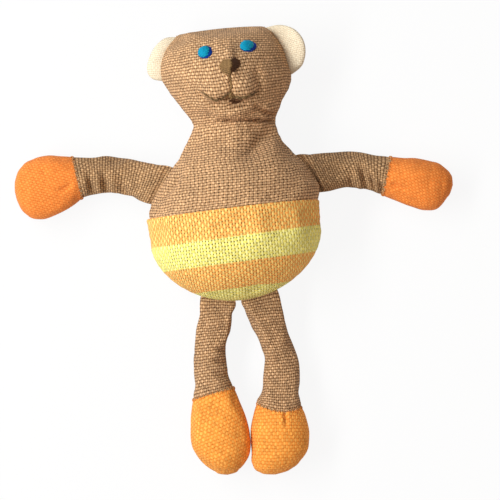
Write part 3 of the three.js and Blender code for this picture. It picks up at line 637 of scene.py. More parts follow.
# Head and chest in one cloth: "edges" hold y, least and greatest x from the crown seam down to the waist,
# "depths" hold y, depth before and behind the side seam, and height of the seam.
bodyCloth = {
    "edges": [
        (93.4, -16.4, 23.4), (91.0, -18.8, 26.0), (88.0, -21.2, 27.9), (82.5, -24.0, 30.2),
        (77.0, -24.9, 31.2), (72.0, -24.3, 32.0), (69.3, -22.9, 32.5), (66.6, -21.8, 32.2),
        (64.0, -20.2, 31.1), (61.3, -18.6, 29.5), (58.6, -17.0, 27.8), (55.9, -15.3, 26.3),
        (53.3, -13.9, 24.8), (50.6, -13.5, 23.8), (48.0, -15.1, 23.4), (45.3, -16.6, 24.0),
        (42.6, -18.2, 25.0), (40.0, -19.8, 26.0), (37.3, -21.7, 27.2), (34.6, -24.4, 29.3),
        (31.0, -27.6, 33.3), (26.0, -31.4, 36.8), (19.5, -35.5, 39.1), (16.0, -36.7, 38.9),
        (13.0, -37.4, 38.3), (11.0, -37.8, 38.3),
    ],
    "depths": [
        (93.4, 22, 20, 19.5), (71.0, 22, 20, 19.5), (62.0, 19.6, 18.2, 19.3), (56.0, 16.4, 15.8, 19.1),
        (51.0, 14.7, 14.6, 19.0), (46.0, 15.9, 15.1, 19.1), (40.0, 19.2, 16.6, 19.4),
        (33.0, 23.2, 18.6, 19.9), (24.0, 27.0, 20.3, 20.3), (11.0, 29.0, 21.0, 20.5),
    ],
    "crown": 93.4, "cheek": 71.4, "neck": 51.0, "waist": 11.0,
    "rows": 190,
    "bow": 7.0, "bowRows": 14,  # rounded top of the crown
    "shut": 3.0,  # how late the head closes towards the crown
    "crownDip": (0.4, 0.0024, 1.0, 72.0),  # drop, curve, middle x, and level where the dip starts
    "closer": [(1.4, 51.0, 4.0), (0.5, 65.0, 9.0)],  # more rows at the neck and at the mouth
    "front": (0.0, 0.35),  # turn of the ring over which the face relief starts
    "mouthLeft": [(5.0, 63.6), (2.8, 62.8), (0.4, 61.5), (-2.3, 61.2), (-5.0, 63.0), (-7.6, 65.5)],
    "mouthRight": [(4.4, 62.5), (6.3, 61.6), (9.8, 60.7), (13.1, 61.3), (16.4, 62.8)],
    "upright": [(5.5, 72.6), (5.2, 69.8), (5.7, 67.4), (4.9, 65.0), (5.0, 62.8)],
    "bridge": [(6.4, 87.0), (6.6, 81.0), (6.2, 77.0), (5.7, 72.6)],
    "bridgeShade": [(10.0, 84.0), (9.4, 79.0), (9.2, 74.0)],
    "cheekFold": [(16.4, 63.0), (16.2, 66.0), (16.6, 69.5), (16.2, 73.5)],
    "neckCrease": [(-2.0, 52.2), (10.0, 51.3), (24.0, 49.2)],
    "chinFold": [(13.0, 58.0), (17.0, 55.6), (24.5, 50.6)],
    "chestDent": [(25.0, 48.0), (19.4, 42.8), (13.0, 39.2), (4.0, 35.4)],
    "shoulderFold": [(-22.0, 32.5), (-25.4, 28.4), (-32.2, 20.5)],
    "humps": [  # amount, middle x and y, half width in x and y
        (6.0, 4.6, 68.0, 14.5, 12.5),  # muzzle
        (3.4, 10.6, 65.6, 5.2, 4.8), (3.4, -0.6, 66.0, 4.9, 4.8),  # jowls
        (2.2, 5.0, 56.2, 9.5, 3.0),  # chin
        (-0.9, -4.3, 82.6, 4.4, 4.0), (-0.9, 14.9, 83.2, 4.6, 4.0),  # eye hollows
        (-2.8, 7.0, 59.9, 3.4, 1.1),  # hollow under the mouth
        (1.5, 20.0, 55.6, 4.2, 2.2), (1.4, 22.0, 37.0, 4.8, 5.0),  # beside the chin fold and the chest dent
    ],
    "sewn": [("mouthLeft", 2.6, 1.4), ("mouthRight", 2.8, 1.5), ("upright", 1.6, 0.7)],  # depth and width
    "sewnFade": 0.45,  # share of a sewn groove's depth that is lost at its far end
    "folds": [  # line, depth, width, margin and power of its fade
        ("cheekFold", 1.9, 2.2, 0.02, 0.6), ("bridgeShade", 1.2, 2.0, 0.05, 0.7),
        ("chestDent", 4.2, 3.6, 0.0, 1.2), ("shoulderFold", 2.4, 1.7, 0.05, 1.0),
    ],
    "bridgeRise": (0.5, 1.5, 2.3, 0.4),  # height at its top, growth, width, share where it starts
    "chinFoldSize": (2.8, 1.3),
    "crease": {"from": (-5.0, 4.0), "depth": (1.7, 1.3), "width": 0.7,
               "lip": (0.3, 0.7), "lipAt": 1.7, "lipWidth": 1.1, "lipFrom": (49.5, 51.5)},
    "held": {"rows": 2, "waist": 13.5, "seam": 1.5, "neck": (0.9, 2.0), "face": (0.85, 57, 60, 88, 84)},
    "sim": {"coarse": (46, 64), "cap": 1.2, "slack": 0.014, "pressure": 4.0},
    "lumps": (0.28, 13, 3),  # height, size and seed
    "gather": (0.1, 4.3, 50.5, 2.6),  # height, length, level and width of the puckers at the neck
    "tuck": (1.0, 13.2, 11.8),  # the waist goes in under the trousers
}


# Ring angles: quarter turns of unequal column counts, from the middle of the back round the front.
def ringAngles(backCols, frontCols):
    back = np.linspace(0, math.pi / 2, backCols // 2 + 1)[:-1]
    front = np.linspace(0, math.pi, frontCols + 1)[:-1]
    return np.concatenate([back - math.pi / 2, front, back + math.pi])


# One stuffed form: half an ellipse above the side seam and half below it, at each level.
def stuffedRings(y, left, right, front, back, height, angles):
    middle, half = (left + right) / 2, (right - left) / 2
    rise = np.sin(angles)[None, :]
    x = middle[:, None] + half[:, None] * np.cos(angles)[None, :]
    depth = np.where(rise > 0, front[:, None], back[:, None])
    z = height[:, None] + depth * rise
    return np.stack([x, np.broadcast_to(y[:, None], x.shape), z], axis=2)


# Crown rows lie on a quarter circle's levels; the rest run down to the waist, closer at the mouth and neck.
def crownLevels(top, bottom, bow, bowRows, rows, closer, samples=600):
    turn = np.linspace(0, math.pi / 2, bowRows + 1)[:-1]
    place = np.linspace(top - bow, bottom, samples)
    weight = np.ones(samples)
    for extra, middle, width in closer:
        weight += extra * bell(place - middle, width)
    density = np.cumsum(weight)
    share = np.linspace(density[0], density[-1], rows - bowRows)
    return np.concatenate([top - bow * (1 - np.cos(turn)), np.interp(share, density, place)])


# Face and folds: humps and hollows are a bell in x times a bell in y; along each line a groove is a bell of
# the distance from it, shallower towards its ends.
def faceRelief(x, y):
    relief = np.zeros(x.shape)
    for amount, middleX, middleY, halfX, halfY in bodyCloth["humps"]:
        relief += amount * bell(x - middleX, halfX) * bell(y - middleY, halfY)
    for line, depth, width in bodyCloth["sewn"]:
        distance, share = toLine(x, y, bodyCloth[line])
        relief -= depth * bell(distance, width) * (1 - bodyCloth["sewnFade"] * share)
    for line, depth, width, margin, power in bodyCloth["folds"]:
        distance, share = toLine(x, y, bodyCloth[line])
        relief -= depth * bell(distance, width) * midway(share, margin, power)
    distance, share = toLine(x, y, bodyCloth["bridge"])
    height, growth, width, start = bodyCloth["bridgeRise"]
    relief += (height + growth * share) * bell(distance, width) * ramp(share, 0.0, start)
    distance, share = toLine(x, y, bodyCloth["chinFold"])
    depth, width = bodyCloth["chinFoldSize"]
    relief -= depth * np.sqrt(share) * bell(distance, width)
    distance, share = toLine(x, y, bodyCloth["neckCrease"])
    crease = bodyCloth["crease"]
    (depth, deeper), (height, higher) = crease["depth"], crease["lip"]
    lip = bell(distance - crease["lipAt"], crease["lipWidth"]) * ramp(y, *crease["lipFrom"])
    groove = (height + higher * share) * lip - (depth + deeper * share) * bell(distance, crease["width"])
    return relief + groove * ramp(x, *crease["from"])


backCols, frontCols = ((112, 208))
angles = ringAngles(backCols, frontCols)
seamRight, seamLeft = backCols // 2, backCols // 2 + frontCols
frontMiddle = backCols // 2 + frontCols // 2
bodyPanels = [
    (0, seamRight, 0), (seamRight, seamLeft, frontMiddle),
    (seamLeft, backCols + frontCols, backCols + frontCols),
]


# Distance along the cloth from the nearer side seam of a stuffed form.
def seamDistance(p):
    length = roundLength(p)[1][:, :-1]
    right, left = length[:, seamRight : seamRight + 1], length[:, seamLeft : seamLeft + 1]
    return np.minimum(np.abs(length - right), np.abs(length - left))


seams = {"stitch": 3.4, "depth": 0.8, "width": 1.0, "pucker": 0.14, "puckerAt": 2.0, "puckerWidth": 1.8}


# Sewn edge: a groove on the seam, and puckers beside it, one for each stitch along the seam.
def seamRelief(distance, along):
    pucker = 0.5 + 0.5 * np.cos(2 * np.pi * along / seams["stitch"])
    beside = seams["pucker"] * pucker * bell(distance - seams["puckerAt"], seams["puckerWidth"])
    return -seams["depth"] * (bell(distance, seams["width"]) + beside)


# Head and chest: half ellipses that close by a root towards the crown, with the face pushed out of them,
# then settled, sewn along the sides, gathered at the neck and tucked in at the waist.
def buildBody():
    edges, depths = np.array(bodyCloth["edges"])[::-1], np.array(bodyCloth["depths"])[::-1]
    crown, cheek, heldAt = bodyCloth["crown"], bodyCloth["cheek"], bodyCloth["held"]
    y = crownLevels(crown, *(bodyCloth[key] for key in ("waist", "bow", "bowRows", "rows", "closer")))
    left, right = through(edges[:, 0], edges[:, 1:], y).T
    front, back, height = through(depths[:, 0], depths[:, 1:], y).T
    shut = np.sqrt(np.maximum(0, 1 - np.clip((y - cheek) / (crown - cheek), 0, 1) ** bodyCloth["shut"]))
    p = stuffedRings(y, left, right, front * shut, back * shut, height, angles)
    drop, curve, middle, start = bodyCloth["crownDip"]
    p[..., 1] -= (drop + curve * (p[..., 0] - middle) ** 2) * ramp(p[..., 1], start, crown)
    facing = np.broadcast_to(ramp(np.sin(angles), *bodyCloth["front"])[None, :], p.shape[:2])
    held = np.zeros(p.shape[:2])
    held[: heldAt["rows"]] = 1
    held[y < heldAt["waist"]] = 1
    held = np.maximum(held, bell(seamDistance(p), heldAt["seam"]))
    firm, width = heldAt["neck"]
    held = np.maximum(held, firm * bell(p[..., 1] - bodyCloth["neck"], width))
    plan = clothPlan(p, bodyPanels)
    p = push(p, faceRelief(p[..., 0], p[..., 1]) * facing * shut[:, None])
    firm, low, lowFull, high, highFull = heldAt["face"]
    face = ramp(y, low, lowFull)[:, None] * ramp(y, high, highFull)[:, None]
    held = np.clip(np.maximum(held, facing * face * firm), 0, 1)
    p = settle("bodyCloth", p, held, **bodyCloth["sim"])
    along = np.broadcast_to(y[:, None], p.shape[:2])
    bulge, size, seed = bodyCloth["lumps"]
    p = push(p, seamRelief(seamDistance(p), along) + bulge * lumps(p, size, seed) * shut[:, None])
    pucker, pitch, level, width = bodyCloth["gather"]
    gather = pucker * np.cos(2 * np.pi * roundLength(p)[1][:, :-1] / pitch)
    inward, tuckFrom, tuckTo = bodyCloth["tuck"]
    p = push(p, gather * bell(along - level, width) - inward * ramp(along, tuckFrom, tuckTo))
    return pressed(p), plan


bodyGrid, bodyPlan = buildBody()
body = gridObject("bodyCloth", [bodyGrid], finishes["brown"], [bodyPlan])
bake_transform(body)
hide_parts("chest_front", "chest_back", "head_front", "head_back", "head_filling")
print("stage: head and chest made")

# Trousers: a bowl from the turned edge at the waist down to the bottom seam. "edge" holds level and offset of
# the turned edge, from inside to outside.
trousers = {
    "halfWidth": 38.1, "front": 29.0, "back": 21.0, "height": 20.5, "top": 11.0, "drop": 28.0, "lean": -0.4,
    "sag": 5.0, "bowl": 1.73, "rows": 110,
    "edge": [
        (9.0, -1.3), (11.4, -1.1), (12.5, -0.8), (12.95, -0.2), (12.8, 0.2), (12.2, 0.4), (11.2, 0.35),
    ],
    "proud": (0.3, 3.0),  # offset under the edge, and the level where it ends
    "slant": (0.9, -0.5, 0.4, -2.0),  # lift of the edge before, all round and sideways, and where it starts
    "held": {"top": (9.0, 10.5), "bottom": (-25, -27), "seam": 1.5},
    "sim": {"coarse": (40, 64), "cap": 0.6, "slack": 0.006, "pressure": 0.9},
    "seamFade": (12.0, 9.0), "lumps": (0.1, 22, 6),
    "wave": {"height": 0.1, "length": 5.5, "from": (9.0, 12.0), "width": 3.0},
    "stripeLevels": (0.6, -10.8, -22.2),
}


# Bowl: width and depth shrink by the root of one minus the share of the drop to a power.
def buildTrousers():
    turned, top, drop = np.array(trousers["edge"]), trousers["top"], trousers["drop"]
    low = top - (top + drop) * np.sin(np.linspace(0, math.pi / 2, trousers["rows"]))
    y = np.concatenate([turned[:, 0], low[1:]])
    proud, proudTo = trousers["proud"]
    offset = np.concatenate([turned[:, 1], proud * ramp(low[1:], proudTo, top)])
    down = np.clip(-y / drop, 0, 1)
    shut = np.sqrt(np.maximum(0, 1 - down ** trousers["bowl"]))
    middle = trousers["lean"] * down**2
    half = (trousers["halfWidth"] + offset) * shut
    height = trousers["height"] - trousers["sag"] * down**2
    p = stuffedRings(y, middle - half, middle + half, (trousers["front"] + offset) * shut,
                     (trousers["back"] + offset) * shut, height, angles)
    rise = np.clip(np.sin(angles), 0, 1)[None, :]
    before, allRound, sideways, start = trousers["slant"]
    slant = before * rise + allRound + sideways * np.cos(angles)[None, :] * rise
    p[..., 1] += slant * ramp(p[..., 1], start, top)
    heldAt, wave = trousers["held"], trousers["wave"]
    ends = np.maximum(ramp(y, *heldAt["top"]), ramp(y, *heldAt["bottom"]))
    ends[: len(turned)] = 1
    held = np.clip(np.maximum(ends[:, None], bell(seamDistance(p), heldAt["seam"])), 0, 1)
    p = settle("trousers", p, held, **trousers["sim"])
    along = np.broadcast_to(y[:, None], p.shape[:2])
    relief = seamRelief(seamDistance(p), along) * ramp(along, *trousers["seamFade"])
    bulge, size, seed = trousers["lumps"]
    p = push(p, (relief + bulge * lumps(p, size, seed)) * shut[:, None])
    ripple = wave["height"] * np.cos(2 * np.pi * roundLength(p)[1][:, :-1] / wave["length"])
    edge = ramp(along, *wave["from"]) * bell(along - wave["from"][1], wave["width"])
    return pressed(push(p, ripple * edge))


trouserGrid = buildTrousers()
trouserPlan = clothPlan(trouserGrid, bodyPanels, frontMiddle)
# Lengths along the middle of the front at which the stripes change, found from their levels.
frontLine = trouserGrid[:, frontMiddle]
frontLength = lengthAlong(frontLine)
outside = slice(len(trousers["edge"]) - 1, None)
stripeAt = [
    float(np.interp(-level, -frontLine[outside, 1], frontLength[outside]))
    for level in trousers["stripeLevels"]
]
insideEdge = -5.0  # the first stripe starts before the cloth does
finishes["striped"] = cotton("stripedCotton", {
    "pitch": (1.4, 1.55), "width": (0.66, 0.72), "lift": -0.72, "wander": 0.7, "slub": 0.25,
    "flank": (0.0, 0.6, 0.85), "ragged": 0.6, "wearAndHighlight": (0.6, 0.6), "uneven": 0.07, "speck": 0.08,
    "relief": 0.6, "patch": 0.015, "stretched": (8.0, 16.0, 36.0, 0.4),
    "stripes": {
        "slope": -0.022, "soft": 0.25,
        "orangeBands": [(insideEdge, stripeAt[0]), (stripeAt[1], stripeAt[2])],
        "orange": {
            "weft": (245, 166, 80), "warp": (252, 206, 114), "hole": (150, 74, 18), "crown": (255, 236, 154),
        },
        "yellow": {
            "weft": (241, 227, 112), "warp": (249, 241, 148), "hole": (90, 66, 8), "crown": (255, 252, 190),
        },
    },
})
trouserCloth = gridObject("trouserCloth", [trouserGrid], finishes["striped"], [trouserPlan])
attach(trouserCloth, "torso")
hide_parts("trousers_front", "trousers_back", "trunk_filling")
print("stage: trousers made, stripes at", stripeAt)


# A filled tube or bag: rings across pairs of edge points, with a height and half thickness at each. "full" is
# the power that rounds the ring out, "ease" sets rows closer at the far end, "tilt" lifts one edge halfway.
def tubeGrid(stations, rows, cols, full=0.92, ease=1.0, tilt=0.0):
    leastStep = 0.6
    table = np.array([[*a, *b, z, t] for a, b, z, t in stations], float)
    middle = (table[:, :2] + table[:, 2:4]) / 2
    step = np.linalg.norm(np.diff(middle, axis=0), axis=1)
    knots = np.concatenate([[0], np.cumsum(np.maximum(step, leastStep))])
    share = np.linspace(0, 1, rows)
    share = 1 - (1 - share) ** ease if ease != 1 else share
    line = through(knots, table, share * knots[-1])
    turn = np.linspace(0, 2 * np.pi, cols, endpoint=False) - np.pi / 2
    c, s = np.cos(turn), np.sin(turn)
    c, s = np.sign(c) * np.abs(c) ** full, np.sign(s) * np.abs(s) ** full
    centre, half = (line[:, :2] + line[:, 2:4]) / 2, (line[:, :2] - line[:, 2:4]) / 2
    p = np.empty((rows, cols, 3))
    p[..., :2] = centre[:, None] + half[:, None] * c[None, :, None]
    p[..., 2] = line[:, 4:5] + np.maximum(line[:, 5:6], 0) * s[None, :]
    p[..., 2] += tilt * np.sin(np.pi * share)[:, None] * (1 + c[None, :]) / 2
    return p, share * knots[-1], turn


# Edge of a cuff moved along the limb: most at the middle of its front, none at its sides and back.
def dipEdge(p, turn, amount):
    p[..., 1] += amount[:, None] * (1 - np.cos(turn)[None, :] ** 2) * (np.sin(turn)[None, :] > 0)


creases = {
    "groove": 1.3, "ridge": 0.5, "ridgeAt": 2.4, "ridgeWidth": 1.3, "fade": (0.25, 0.7), "upper": (0.1, 0.6),
}


# Folds on the upper side: along a short line a groove, a bell of the distance from it, with a ridge beside it
# and both fading along the line.
def foldRelief(p, folds):
    relief = np.zeros(p.shape[:2])
    first, span = creases["fade"]
    for start, end, depth, width in folds:
        distance, share = toLine(p[..., 0], p[..., 1], [start, end])
        groove = creases["groove"] * bell(distance, width)
        ridge = creases["ridge"] * bell(distance - creases["ridgeAt"] * width, creases["ridgeWidth"] * width)
        relief += midway(first + span * share) * depth * (ridge - groove)
    return relief * ramp(outward(p)[..., 2], *creases["upper"])


# Pleats gathered into a cuff: a cosine round the ring, as many waves as there are pleats.
def pleats(count, cols):
    return np.cos(np.arange(cols) * 2 * np.pi * count / cols)[None, :]


# Limbs: stations of tube and bag hold both edge points, height and half thickness; a fold holds its two ends,
# depth and width. "seam" and "toward" hold a point on the root seam and a point further along the limb.
limbs = {
    "left_arm": {
        "tube": [
            ((29.0, 32.9), (37.6, 15.6), 20.1, 0.9), ((31.2, 33.5), (39.4, 15.7), 20.0, 1.4),
            ((36.5, 33.0), (43.0, 15.8), 17.2, 5.2), ((44.0, 32.6), (48.0, 16.0), 11.8, 7.4),
            ((51.5, 32.3), (54.8, 15.8), 8.8, 7.9), ((60.0, 31.3), (61.0, 14.6), 8.3, 8.0),
            ((66.5, 29.4), (64.5, 13.0), 8.6, 8.1), ((72.6, 27.5), (67.3, 12.0), 9.0, 8.2),
            ((74.8, 26.8), (69.4, 11.6), 9.1, 7.2),
        ],
        "bag": [
            ((72.4, 27.9), (67.0, 11.5), 9.0, 8.5), ((78.8, 26.9), (71.9, 8.6), 9.4, 9.2),
            ((84.6, 25.9), (78.7, 5.0), 9.6, 9.8), ((90.0, 24.1), (85.5, 2.4), 9.6, 9.4),
            ((94.9, 21.8), (91.2, 2.9), 9.5, 8.0), ((98.2, 17.6), (95.3, 6.8), 9.4, 5.9),
            ((98.8, 15.2), (97.4, 9.4), 9.4, 3.5), ((98.7, 12.4), (98.7, 12.4), 9.4, 0.0),
        ],
        "folds": [
            ((60.5, 15.5), (58.8, 26.0), 1.8, 1.2), ((63.5, 14.0), (61.9, 23.5), 1.7, 1.0),
            ((67.0, 13.0), (66.2, 18.0), 1.2, 1.0), ((54.0, 17.0), (53.4, 23.0), 0.5, 1.4),
        ],
        "bagFolds": [((72.0, 15.5), (77.0, 12.0), 0.6, 1.0)],
        "nodes": ("left_sleeve", "left_mitt", "left_arm_filling"),
        "seam": (35.0, 25.3), "toward": (43.0, 25.0),
        "tubeName": "leftSleeve", "tubeCloth": "sleeveShadedBrown", "pinch": 2.0,
        "bagName": "leftMitt", "bagCloth": "orange", "grain": 40, "fill": (0.7, 0.85), "dip": 0.0,
    },
    "right_arm": {
        "tube": [
            ((-22.6, 33.0), (-33.9, 18.5), 20.0, 0.9), ((-25.4, 34.6), (-35.9, 19.0), 20.0, 1.4),
            ((-32.0, 36.0), (-40.0, 21.0), 17.2, 3.6), ((-39.0, 38.2), (-44.2, 23.4), 11.8, 6.6),
            ((-46.5, 40.3), (-49.6, 25.1), 8.9, 7.9), ((-55.3, 42.6), (-56.6, 26.5), 8.3, 8.0),
            ((-63.0, 43.3), (-62.5, 26.2), 8.6, 8.2), ((-68.6, 43.6), (-66.5, 25.6), 9.0, 8.4),
            ((-70.8, 43.4), (-68.7, 25.4), 9.1, 7.4),
        ],
        "bag": [
            ((-68.4, 44.0), (-66.2, 25.2), 9.0, 8.7), ((-73.5, 45.1), (-71.5, 21.9), 9.4, 9.4),
            ((-79.4, 45.9), (-79.0, 18.9), 9.7, 9.9), ((-85.5, 45.2), (-85.8, 17.9), 9.6, 9.6),
            ((-91.0, 42.6), (-91.2, 20.2), 9.5, 8.0), ((-94.4, 38.0), (-94.5, 25.4), 9.4, 5.5),
            ((-95.3, 35.2), (-95.3, 28.3), 9.4, 3.2), ((-95.7, 31.7), (-95.7, 31.7), 9.4, 0.0),
        ],
        "folds": [
            ((-61.0, 27.0), (-61.9, 36.0), 1.4, 1.3), ((-55.0, 27.0), (-55.4, 36.0), 1.4, 1.3),
            ((-47.3, 25.5), (-48.2, 33.0), 0.8, 1.5),
        ],
        "bagFolds": [((-71.0, 31.0), (-76.5, 29.0), 0.6, 1.0)],
        "nodes": ("right_sleeve", "right_mitt", "right_arm_filling"),
        "seam": (-30.5, 26.8), "toward": (-37.5, 31.0),
        "tubeName": "rightSleeve", "tubeCloth": "sleeveShadedBrown", "pinch": 0.8,
        "bagName": "rightMitt", "bagCloth": "orange", "grain": 20, "fill": (0.65, 0.85), "dip": 0.0,
    },
    "left_leg": {
        "tube": [
            ((-0.4, -25.8), (14.8, -23.4), 15.8, 0.9), ((-0.9, -28.0), (15.8, -25.6), 15.7, 1.4),
            ((0.3, -33.0), (16.4, -33.0), 13.0, 3.9), ((2.0, -40.5), (17.3, -41.0), 9.4, 6.5),
            ((4.5, -48.5), (18.9, -48.3), 8.0, 7.4), ((6.1, -56.0), (20.8, -56.0), 7.8, 7.5),
            ((5.4, -62.0), (21.4, -62.5), 8.2, 7.8), ((3.7, -69.0), (20.8, -70.0), 9.0, 8.3),
            ((1.0, -75.0), (20.0, -78.6), 10.2, 8.8), ((1.4, -77.2), (19.6, -80.6), 10.6, 7.6),
        ],
        "bag": [
            ((1.0, -74.3), (20.2, -78.3), 10.2, 9.3), ((-0.9, -78.5), (21.6, -81.5), 10.9, 10.4),
            ((-2.9, -84.0), (22.5, -86.2), 11.5, 11.6), ((-3.8, -90.0), (22.5, -91.5), 11.6, 11.9),
            ((-4.1, -96.0), (21.2, -97.2), 11.5, 11.2), ((-4.2, -100.8), (17.8, -101.4), 11.3, 9.6),
            ((-1.6, -105.0), (13.5, -104.8), 11.1, 6.4), ((1.8, -106.4), (9.4, -106.3), 11.0, 3.4),
            ((5.4, -106.9), (5.4, -106.9), 11.0, 0.0),
        ],
        "folds": [
            ((5.6, -59.0), (15.0, -57.0), 0.5, 1.3), ((5.0, -64.0), (14.0, -65.5), 0.5, 1.2),
            ((4.5, -51.5), (11.0, -50.0), 0.35, 1.3),
        ],
        "bagFolds": [((13.0, -79.5), (12.6, -86.0), 0.9, 0.7)],
        "nodes": ("left_leg", "left_boot", "left_leg_filling"),
        "seam": (7.0, -27.2), "toward": (7.6, -36.0),
        "tubeName": "leftLeg", "tubeCloth": "legShadedBrown", "pinch": 0.3,
        "bagName": "leftBoot", "bagCloth": "bootOrange", "grain": 6, "fill": (0.8, 0.9), "dip": -2.6,
    },
    "right_leg": {
        "tube": [
            ((-18.2, -23.0), (-3.9, -25.8), 15.8, 0.9), ((-18.9, -25.4), (-3.4, -28.0), 15.7, 1.4),
            ((-19.9, -33.5), (-5.0, -34.0), 13.0, 3.9), ((-22.2, -41.0), (-6.9, -41.2), 9.2, 6.6),
            ((-24.3, -48.5), (-9.8, -48.5), 7.9, 7.5), ((-25.4, -55.0), (-10.2, -54.5), 7.8, 7.5),
            ((-26.2, -61.5), (-10.2, -60.8), 8.4, 7.9), ((-26.7, -69.8), (-8.9, -66.8), 9.6, 8.5),
            ((-26.3, -72.4), (-8.5, -69.4), 10.0, 7.4),
        ],
        "bag": [
            ((-27.2, -69.6), (-8.6, -66.4), 9.6, 9.0), ((-28.6, -74.5), (-6.6, -72.5), 10.6, 10.2),
            ((-29.5, -80.0), (-4.7, -79.0), 11.3, 11.3), ((-30.3, -87.0), (-3.75, -87.0), 11.6, 11.9),
            ((-29.3, -92.5), (-4.1, -94.0), 11.5, 11.4), ((-26.0, -98.1), (-6.3, -98.8), 11.3, 9.8),
            ((-21.2, -102.4), (-10.2, -102.7), 11.1, 6.4), ((-18.6, -104.0), (-12.8, -104.2), 11.0, 3.4),
            ((-15.8, -104.6), (-15.8, -104.6), 11.0, 0.0),
        ],
        "folds": [
            ((-9.8, -55.6), (-17.5, -52.2), 1.3, 1.2), ((-10.2, -50.0), (-16.0, -48.0), 0.6, 1.4),
            ((-10.0, -61.0), (-17.0, -58.5), 0.6, 1.3),
        ],
        "bagFolds": [((-19.0, -72.0), (-19.5, -75.5), 0.25, 0.9)],
        "nodes": ("right_leg", "right_boot", "right_leg_filling"),
        "seam": (-11.4, -27.2), "toward": (-12.6, -36.0),
        "tubeName": "rightLeg", "tubeCloth": "legShadedBrown", "pinch": 0.3,
        "bagName": "rightBoot", "bagCloth": "bootOrange", "grain": -17, "fill": (0.8, 0.9), "dip": 0.4,
    },
}


tubeForm = {
    "grid": ((120, 112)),
    "dip": (8.0, 2.0), "rootHeld": (1.5, 6.0), "cuffHeld": (5.0, 2.5),
    "sim": {"coarse": (36, 24), "cap": 0.9, "slack": 0.014, "pressure": 3.0},
    "filled": (3.0, 12.0), "lumps": (0.25, 9),
    "pinchAt": 3.4, "pinchWidth": 1.0, "pinchFacing": (0.3, 0.8),
    "pleats": 11, "pleatHeight": 0.2, "pleatAt": 2.5, "pleatWidth": 3.0,
}


# Sleeve or leg: a tube held at its sewn root and cuff, swollen by simulation, then folded and puckered.
def buildTube(name, spec):
    rows, cols = tubeForm["grid"]
    p, along, turn = tubeGrid(spec["tube"], rows, cols)
    end = along[-1]
    dipFrom, dipTo = tubeForm["dip"]
    dipEdge(p, turn, spec["dip"] * ramp(along, end - dipFrom, end - dipTo))
    p = push(p, foldRelief(p, spec["folds"]))
    cuffFrom, cuffTo = tubeForm["cuffHeld"]
    held = np.maximum(1 - ramp(along, *tubeForm["rootHeld"]), ramp(along, end - cuffFrom, end - cuffTo))
    held = np.broadcast_to(held[:, None], p.shape[:2])
    p = settle(name, p, held, **tubeForm["sim"])
    bulge, size = tubeForm["lumps"]
    filled = ramp(along, *tubeForm["filled"])[:, None]
    pinch = spec["pinch"] * bell(along - tubeForm["pinchAt"], tubeForm["pinchWidth"])[:, None]
    flat = ramp(np.abs(outward(p)[..., 2]), *tubeForm["pinchFacing"])
    gather = bell(along - end + tubeForm["pleatAt"], tubeForm["pleatWidth"])[:, None]
    relief = bulge * lumps(p, size, len(name)) * filled - pinch * flat
    relief = relief + tubeForm["pleatHeight"] * pleats(tubeForm["pleats"], cols) * gather
    return pressed(push(p, relief))


bagForm = {
    "grid": ((120, 128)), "full": 0.94, "ease": 1.9, "thick": 10.0,
    "dip": 12.0, "mouthHeld": (1.0, 4.0), "tipHeld": (13.0, 2.5), "seamHeld": 3.0,
    "sim": {"coarse": (30, 28), "cap": 0.7, "slack": 0.012, "pressure": 4.0},
    "tip": 4.0, "lumps": (0.15, 10, 20), "groove": 0.15, "grooveWidth": 1.1, "grooveFrom": (2.0, 6.0),
    "pleats": 13, "pleatHeight": 0.1, "pleatAt": 1.5, "pleatWidth": 4.0,
    # Turned edge, from inside out: place ahead of the mouth, offset, and length of cloth used.
    "lip": [(4.0, -1.5, 4.6), (2.2, -1.4, 2.8), (0.9, -1.1, 1.5), (0.2, -0.6, 0.64), (0.0, -0.15, 0.15)],
}


# Mitt or boot: a bag turned in at its mouth, then out over the cuff, swollen, and closed at its round end.
def buildBag(name, spec):
    rows, cols = bagForm["grid"]
    p, along, turn = tubeGrid(spec["bag"], rows, cols, bagForm["full"], bagForm["ease"])
    end = along[-1]
    dipEdge(p, turn, spec["dip"] * (1 - ramp(along, 0, bagForm["dip"])))
    plan = bagPlan(p, bagForm["thick"], spec["grain"])
    p = push(p, foldRelief(p, spec["bagFolds"]))
    size = roundLength(p)[1][:, -1:] / (2 * np.pi)
    fromSeam = np.abs(np.sin(turn))[None, :] * size
    tipFrom, tipTo = bagForm["tipHeld"]
    ends = np.maximum(1 - ramp(along, *bagForm["mouthHeld"]), ramp(along, end - tipFrom, end - tipTo))
    held = np.maximum(ends[:, None], bell(fromSeam, bagForm["seamHeld"]))
    p = settle(name, p, held, **bagForm["sim"])
    bulge, size, seed = bagForm["lumps"]
    spread = 1 - ramp(along, end - bagForm["tip"], end)[:, None]
    groove = bell(fromSeam, bagForm["grooveWidth"]) * ramp(along, *bagForm["grooveFrom"])[:, None]
    gather = bell(along - bagForm["pleatAt"], bagForm["pleatWidth"])[:, None]
    relief = (bulge * lumps(p, size, len(name) + seed) - bagForm["groove"] * groove) * spread
    p = push(p, relief + bagForm["pleatHeight"] * pleats(bagForm["pleats"], cols) * gather)
    n, ahead, back = outward(p)[0], unit(p[4] - p[0]), unit(plan[0] - plan[4])
    lip = np.stack([p[0] + ahead * place + n * offset for place, offset, used in bagForm["lip"]])
    lipPlan = np.stack([plan[0] + back * used for place, offset, used in bagForm["lip"]])
    return pressed(np.concatenate([lip, p])), corners(np.concatenate([lipPlan, plan]))


